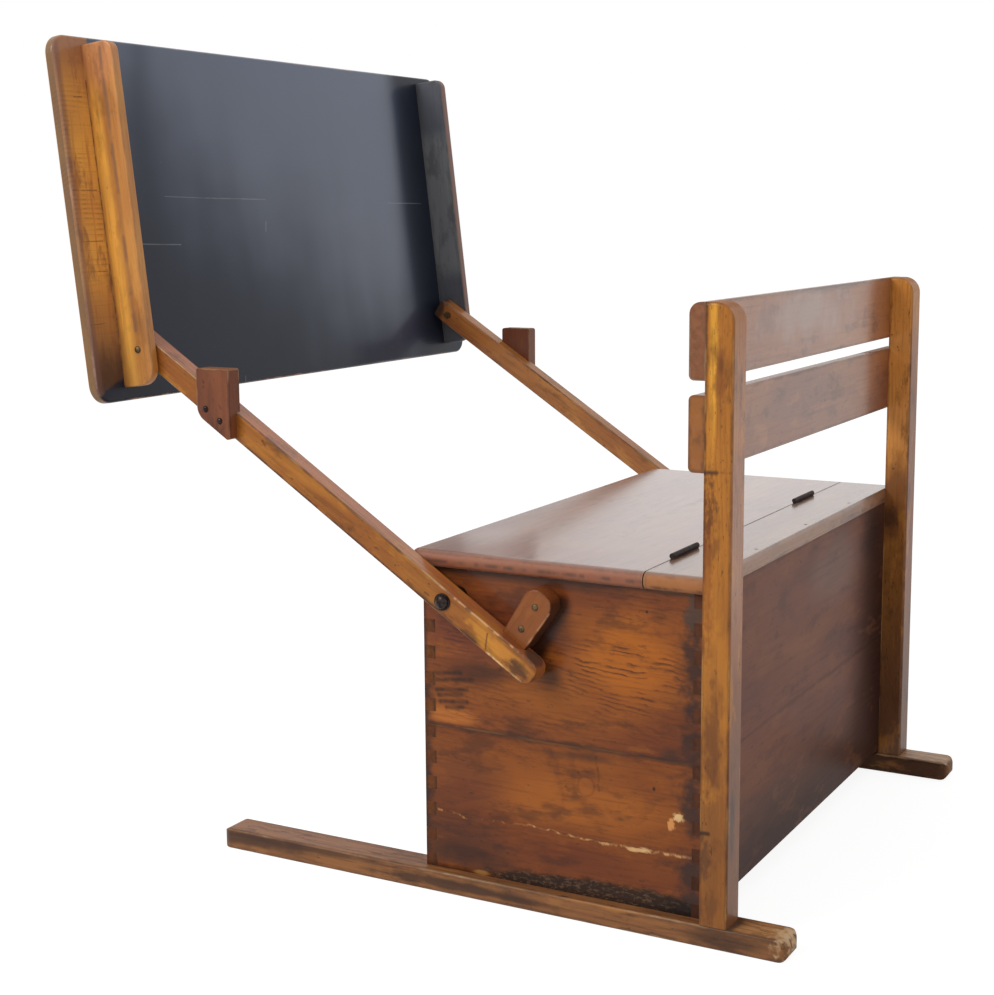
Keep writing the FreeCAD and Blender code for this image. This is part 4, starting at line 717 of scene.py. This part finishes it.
def finishBlackboard(piece):
    r, d = Recipe(bpy.data.materials.new("blackboard_" + piece.name)), desktop
    board = Board(r, [node["desktop_board_lower"], node["desktop_board_upper"]], alongX, rise)
    tone = {name: tint(*colour) for name, colour in d["colours"].items()}
    # lengths from the pivots
    u = board.lengths[0] + board.middles[0]
    v = board.lengths[1] + (board.middles[1] - pivot.dot(rise))
    w = board.lengths[2] + (board.middles[2] - pivot.dot(board.axes[2]))
    onFront = r.smooth(r.facing(stand), 0.3, 0.6)

    # bare wood, its grain across the desk
    sway = (r.noise(u * 4 + 3, v * 8, w * 8, 3.0) - 0.5) * d["bend"]
    y, z = v - d["aside"] + sway, w + d["depth"] + u * d["tilt"]
    wave = (r.noise(u * 30, v * 60, w * 60, 2.0) - 0.5) * d["wave"]
    part = r.sum("FRACT", (r.sum("SQRT", y * y + z * z) + wave) / d["ringEvery"])
    line = r.smooth(part, 0.35, 0.88) * r.smooth(part, 0.92, 1.0, 1.0, 0.0)
    fibre = r.noise(u * 14, v * 420, w * 420, 3.0, 0.6)
    cloud = r.noise(u * 6, v * 14, w * 14, 3.0)
    bare = r.blend(r.smooth(cloud, 0.4, 0.65), tone["wood"], tone["woodGold"])
    streak = r.noise(u * 110, v * 7, w * 5, 3.0, 0.6)
    bare = r.blend(r.smooth(streak, 0.5, 0.7, 0.0, 0.6) * onFront, bare, tone["woodRed"])
    combed = r.smooth(r.noise(v * 16 + 5, u * 20, 4.0, 2.0), 0.42, 0.6)
    combed = combed * r.smooth(abs(v - d["combAt"]), *d["comb"])
    bare = r.blend(line * r.smooth(streak, 0.6, 0.4, 0.1, 0.55) * combed, bare, tone["woodLine"])
    bare = r.blend(r.smooth(fibre, 0.48, 0.75, 0.0, 0.3), bare, tone["woodLine"])
    blot = r.noise(u * 60 + 3, v * 22, w * 20, 4.0, 0.62)
    bare = r.blend(r.smooth(blot, 0.52, 0.68, 0.0, 0.55) * onFront, bare, tone["woodFoot"])
    top = r.smooth(v + (cloud - 0.5) * 0.1, *d["top"], 0.0, 0.85)
    bare = r.blend(top * onFront, bare, tone["woodTop"])
    low = r.smooth(v + (streak - 0.5) * 0.08, *d["low"], 0.0, 0.85)
    bare = r.blend(low * onFront, bare, tone["woodFoot"])
    heel = r.smooth(v + (blot - 0.5) * 0.07, *d["heel"], 0.0, 0.75)
    bare = r.blend(heel * onFront, bare, tone["rimDark"])
    for start, end, wide in d["scores"]:
        mark = stroke(onDesktop(*start), onDesktop(*end), wide, d["colours"]["rimDark"], 0.7,
                      core=0.1, wander=0.0012, gaps=0.3)
        bare = r.blend(board.mask(mark) * onFront * mark["show"], bare, tint(*mark["colour"]))

    # smooth satin paint, lighter towards the top and the far side and darker towards the bottom: a
    # painted reflection; the painted reflection of the far cleat darkens its side, a band near the near
    # cleat is darker too, and the foot is duller
    edge = (r.noise(u * 60, v * 24, 5.0, 3.0) - 0.5) * 0.004
    foot = r.smooth(v + (d["nearEnd"] - u) * -d["footSlope"] + edge * 3, *d["foot"], 1.0, 0.0)
    painted = r.sum("MAXIMUM", r.smooth(u + edge, *d["paintEdge"], 1.0, 0.0), foot)
    patchy = r.noise(u * 4 + 2, v * 5, 8.0, 3.0, 0.5)
    broad = r.noise(u * 16 + 9, v * 2.5, 3.0, 2.0)
    light = r.smooth(v - u * d["lightSlope"] + (patchy - 0.5) * 0.25 + (broad - 0.5) * 0.12, *d["light"])
    light = light * r.smooth(u + (patchy - 0.5) * 0.03, *d["shadeFar"], 0.0, 1.0)
    band = abs(u - d["shadeAt"] + (patchy - 0.5) * 0.06 + v * 0.03)
    light = light * r.smooth(band, 0.0, 0.035, 0.7, 1.0)
    paint = r.blend(light, tone["paintShaded"], tone["paint"])
    for start, end, wide in d["scratches"]:
        mark = stroke(onDesktop(*start), onDesktop(*end), wide, d["colours"]["chalk"], 0.5,
                      wander=0.0010, gaps=0.6, step=30)
        paint = r.blend(board.mask(mark) * mark["show"], paint, tint(*mark["colour"]))
    speck = r.smooth(r.noise(u * 500, v * 500, 2.0, 1.0), 0.77, 0.8)
    paint = r.blend(speck * 0.3, paint, tone["chalk"])
    nearRim = r.smooth(u, *d["nearRim"]) * onFront
    bare = r.blend(nearRim * 0.6, bare, tone["rim"])
    base = r.blend(painted * onFront, bare, paint)
    farRim = r.smooth(u, *d["farRim"]) * onFront
    base = r.blend(farRim * r.smooth(streak, 0.35, 0.5), base, tone["rim"])

    # its edges: dark with worn spots
    rim = (1 - onFront) * (1 - r.smooth(r.facing(stand * -1), 0.3, 0.6))
    base = r.blend(rim * 0.75, base, tone["rimDark"])
    ragged = r.noise(u * 60, v * 60, w * 60, 4.0, 0.6)
    worn = r.smooth(board.fromArris() + (ragged - 0.5) * 0.006, 0.0004, 0.0020, 0.6, 0.0)
    worn = worn * r.smooth(r.noise(u * 11, v * 11, w * 11, 2.0), 0.42, 0.6)
    base = r.blend(worn, base, tone["worn"])
    height = fibre * d["fibreHigh"] + r.noise(u * 16, v * 24, w * 24, 2.0) * d["dentHigh"]
    rough = d["rough"] + (1 - painted) * 0.05 + worn * 0.15
    coat = r.smooth(light, 0.0, 0.8, *d["paintCoat"]) * painted + (1 - painted) * d["woodCoat"]
    dress(piece, r.surface({
        "Base Color": base, "Roughness": rough, "IOR": d["ior"], "Coat Weight": coat,
        "Coat Roughness": d["coatRough"], "Coat IOR": d["coatIOR"],
    }, height))


for name in ("desktop_board_lower", "desktop_board_upper"):
    finishBlackboard(node[name])
finishWood(node["cleat_left"], cleat, rise, stand, cleatMarks)
farCleatMarks = [
    glow(onDesktop(-0.328, 0.15, -0.01), (0.1, 0.4), (120, 122, 124), 0.9, soft=0.2, ragged=0.1,
         way=toLeft),
    stainAndShadow(onDesktop(-cleatX, 0.15, 0.015), (0.4, 0.03), (134, 98, 84), 0.85, soft=0.2, ragged=0.1,
          way=stand),
    stainAndShadow(onDesktop(-0.328, 0.345, 0.0), (0.012, 0.05), (128, 96, 84), 0.8, soft=0.4, way=rise),
    stroke(onDesktop(-0.328, 0.32, -0.0235), onDesktop(-0.328, -0.05, -0.0235), 0.0026, (116, 112, 110),
           0.6, gaps=0.3, way=toLeft),
]
finishWood(node["cleat_right"], farCleat, rise, stand, farCleatMarks)
print("desktop done")

# fittings of steel
steel = {
    "hinge": {"colour": (52, 45, 44), "rust": (58, 44, 40), "shine": (92, 82, 78), "rough": 0.5},
    "bolt": {"colour": (40, 31, 29), "rust": (40, 29, 25), "shine": (96, 86, 78), "rough": 0.2},
    "screw": {"colour": (104, 88, 62), "rust": (62, 44, 34), "shine": (160, 138, 100), "rough": 0.4},
}
# specks in a metre, and how high they stand in metres
specks = {"coarse": 300, "fine": 1500, "coarseHigh": 0.00015, "fineHigh": 0.00004}


def finishSteel(name):
    look = steel[name]
    r = Recipe(bpy.data.materials.new(name + "_steel"))
    spot = r.make("ShaderNodeTexCoord", None, None, "Object")
    parts = r.make("ShaderNodeSeparateXYZ", None, {0: spot})
    x, y, z = [Wire(r, socket) for socket in parts.socket.node.outputs]
    coarse = r.noise(*[length * specks["coarse"] for length in (x, y, z)], 4.0, 0.6)
    fine = r.noise(*[length * specks["fine"] for length in (x, y, z)], 2.0)
    base = r.blend(r.smooth(coarse, 0.42, 0.62), tint(*look["colour"]), tint(*look["rust"]))
    base = r.blend(r.smooth(fine, 0.6, 0.8, 0.0, 0.6), base, tint(*look["shine"]))
    rough = look["rough"] + coarse * 0.25
    metal = r.smooth(coarse, 0.4, 0.65, 1.0, 0.45)
    return r.surface({"Base Color": base, "Roughness": rough, "Metallic": metal},
                     coarse * specks["coarseHigh"] + fine * specks["fineHigh"])


fittings = {
    "hinge": ("hinge_leaf", "hinge_pin", "hinge_screws", "plank_nails"),
    "bolt": ("arm_bolts", "arm_nuts", "arm_spacers", "arm_washers", "stop_block_screws"),
    "screw": ("desktop_pivot", "cleat_screws", "post_screws", "runner_screws",
              "slat_screws", "stop_bracket_screws"),
}
for kind, starts in fittings.items():
    material = finishSteel(kind)
    for name, piece in node.items():
        if name.startswith(starts):
            dress(piece, material)
print("fittings done")

# floor, light and camera
camera = {
    "place": (1.7247, 0.8745, 0.6816),
    "turn": 118.395, "tip": -8.453, "roll": -0.316,   # degrees
    "lens": 62.23, "sensor": 36, "shiftX": -0.01314, "shiftY": -0.03267,
}
lamps = {
    "key": {"place": (2.3, -1.2, 2.3), "aim": (0, 0, 0.35), "size": 1.6, "watts": 46},
    "fill": {"place": (0.8, 2.8, 1.6), "aim": (0, 0.1, 0.4), "size": 2.4, "watts": 12},
}
pureWhite = (1, 1, 1, 1)
room = {"light": 0.5, "backdrop": 1.0}
floor = {"size": 40.0, "colour": (236, 236, 236), "white": 0.62, "glow": 1.40}


def seen(recipe):
    # 1 for what the camera sees, itself or in gloss and glass
    kinds = [recipe.make("ShaderNodeLightPath", None, None, kind)
             for kind in ("Is Camera Ray", "Is Glossy Ray", "Is Transmission Ray")]
    return recipe.sum("MINIMUM", kinds[0] + kinds[1] + kinds[2], 1.0)


def addFloor():
    bpy.ops.object.select_all(action="DESELECT")
    bpy.ops.mesh.primitive_plane_add(size=floor["size"], location=(0, 0, 0))
    ground = bpy.context.object
    ground.name = "floor"
    r = Recipe(bpy.data.materials.new("floor"))
    plain = r.make("ShaderNodeBsdfDiffuse", None, {"Color": tint(*floor["colour"])})
    white = r.make("ShaderNodeEmission", None, {"Color": pureWhite, "Strength": floor["glow"]})
    both = r.make("ShaderNodeMixShader", None, {0: seen(r) * floor["white"], 1: plain, 2: white})
    r.make("ShaderNodeOutputMaterial", None, {"Surface": both})
    ground.data.materials.append(r.owner)


def addWorld():
    world = bpy.data.worlds.new("room")
    bpy.context.scene.world = world
    r = Recipe(world)
    dim = r.make("ShaderNodeBackground", None, {"Color": pureWhite, "Strength": room["light"]})
    plain = r.make("ShaderNodeBackground", None, {"Color": pureWhite, "Strength": room["backdrop"]})
    both = r.make("ShaderNodeMixShader", None, {0: seen(r), 1: dim, 2: plain})
    r.make("ShaderNodeOutputWorld", None, {"Surface": both})


def addLamp(name, lamp):
    data = bpy.data.lights.new(name, "AREA")
    data.shape, data.size, data.energy = "DISK", lamp["size"], lamp["watts"]
    body = bpy.data.objects.new(name, data)
    bpy.context.scene.collection.objects.link(body)
    way = Vector(lamp["aim"]) - Vector(lamp["place"])
    turned = way.to_track_quat("-Z", "Y").to_matrix().to_4x4()
    body.matrix_world = Matrix.Translation(lamp["place"]) @ turned


def addCamera():
    turn, tip, roll = (math.radians(camera[k]) for k in ("turn", "tip", "roll"))
    look = Vector((-math.sin(turn) * math.cos(tip), math.cos(turn) * math.cos(tip), math.sin(tip)))
    right = look.cross(Vector((0, 0, 1))).normalized()
    up = right.cross(look)
    side = right * math.cos(roll) + up * math.sin(roll)
    top = up * math.cos(roll) - right * math.sin(roll)
    data = bpy.data.cameras.new("camera")
    data.lens, data.sensor_width = camera["lens"], camera["sensor"]
    data.shift_x, data.shift_y = camera["shiftX"], camera["shiftY"]
    eye = bpy.data.objects.new("camera", data)
    bpy.context.scene.collection.objects.link(eye)
    facing = Matrix((side, top, -look)).transposed().to_4x4()
    eye.matrix_world = Matrix.Translation(camera["place"]) @ facing
    bpy.context.scene.camera = eye


addFloor()
addWorld()
for name, lamp in lamps.items():
    addLamp(name, lamp)
addCamera()
bpy.context.scene.view_settings.view_transform = "Standard"
print("floor, light and camera done")
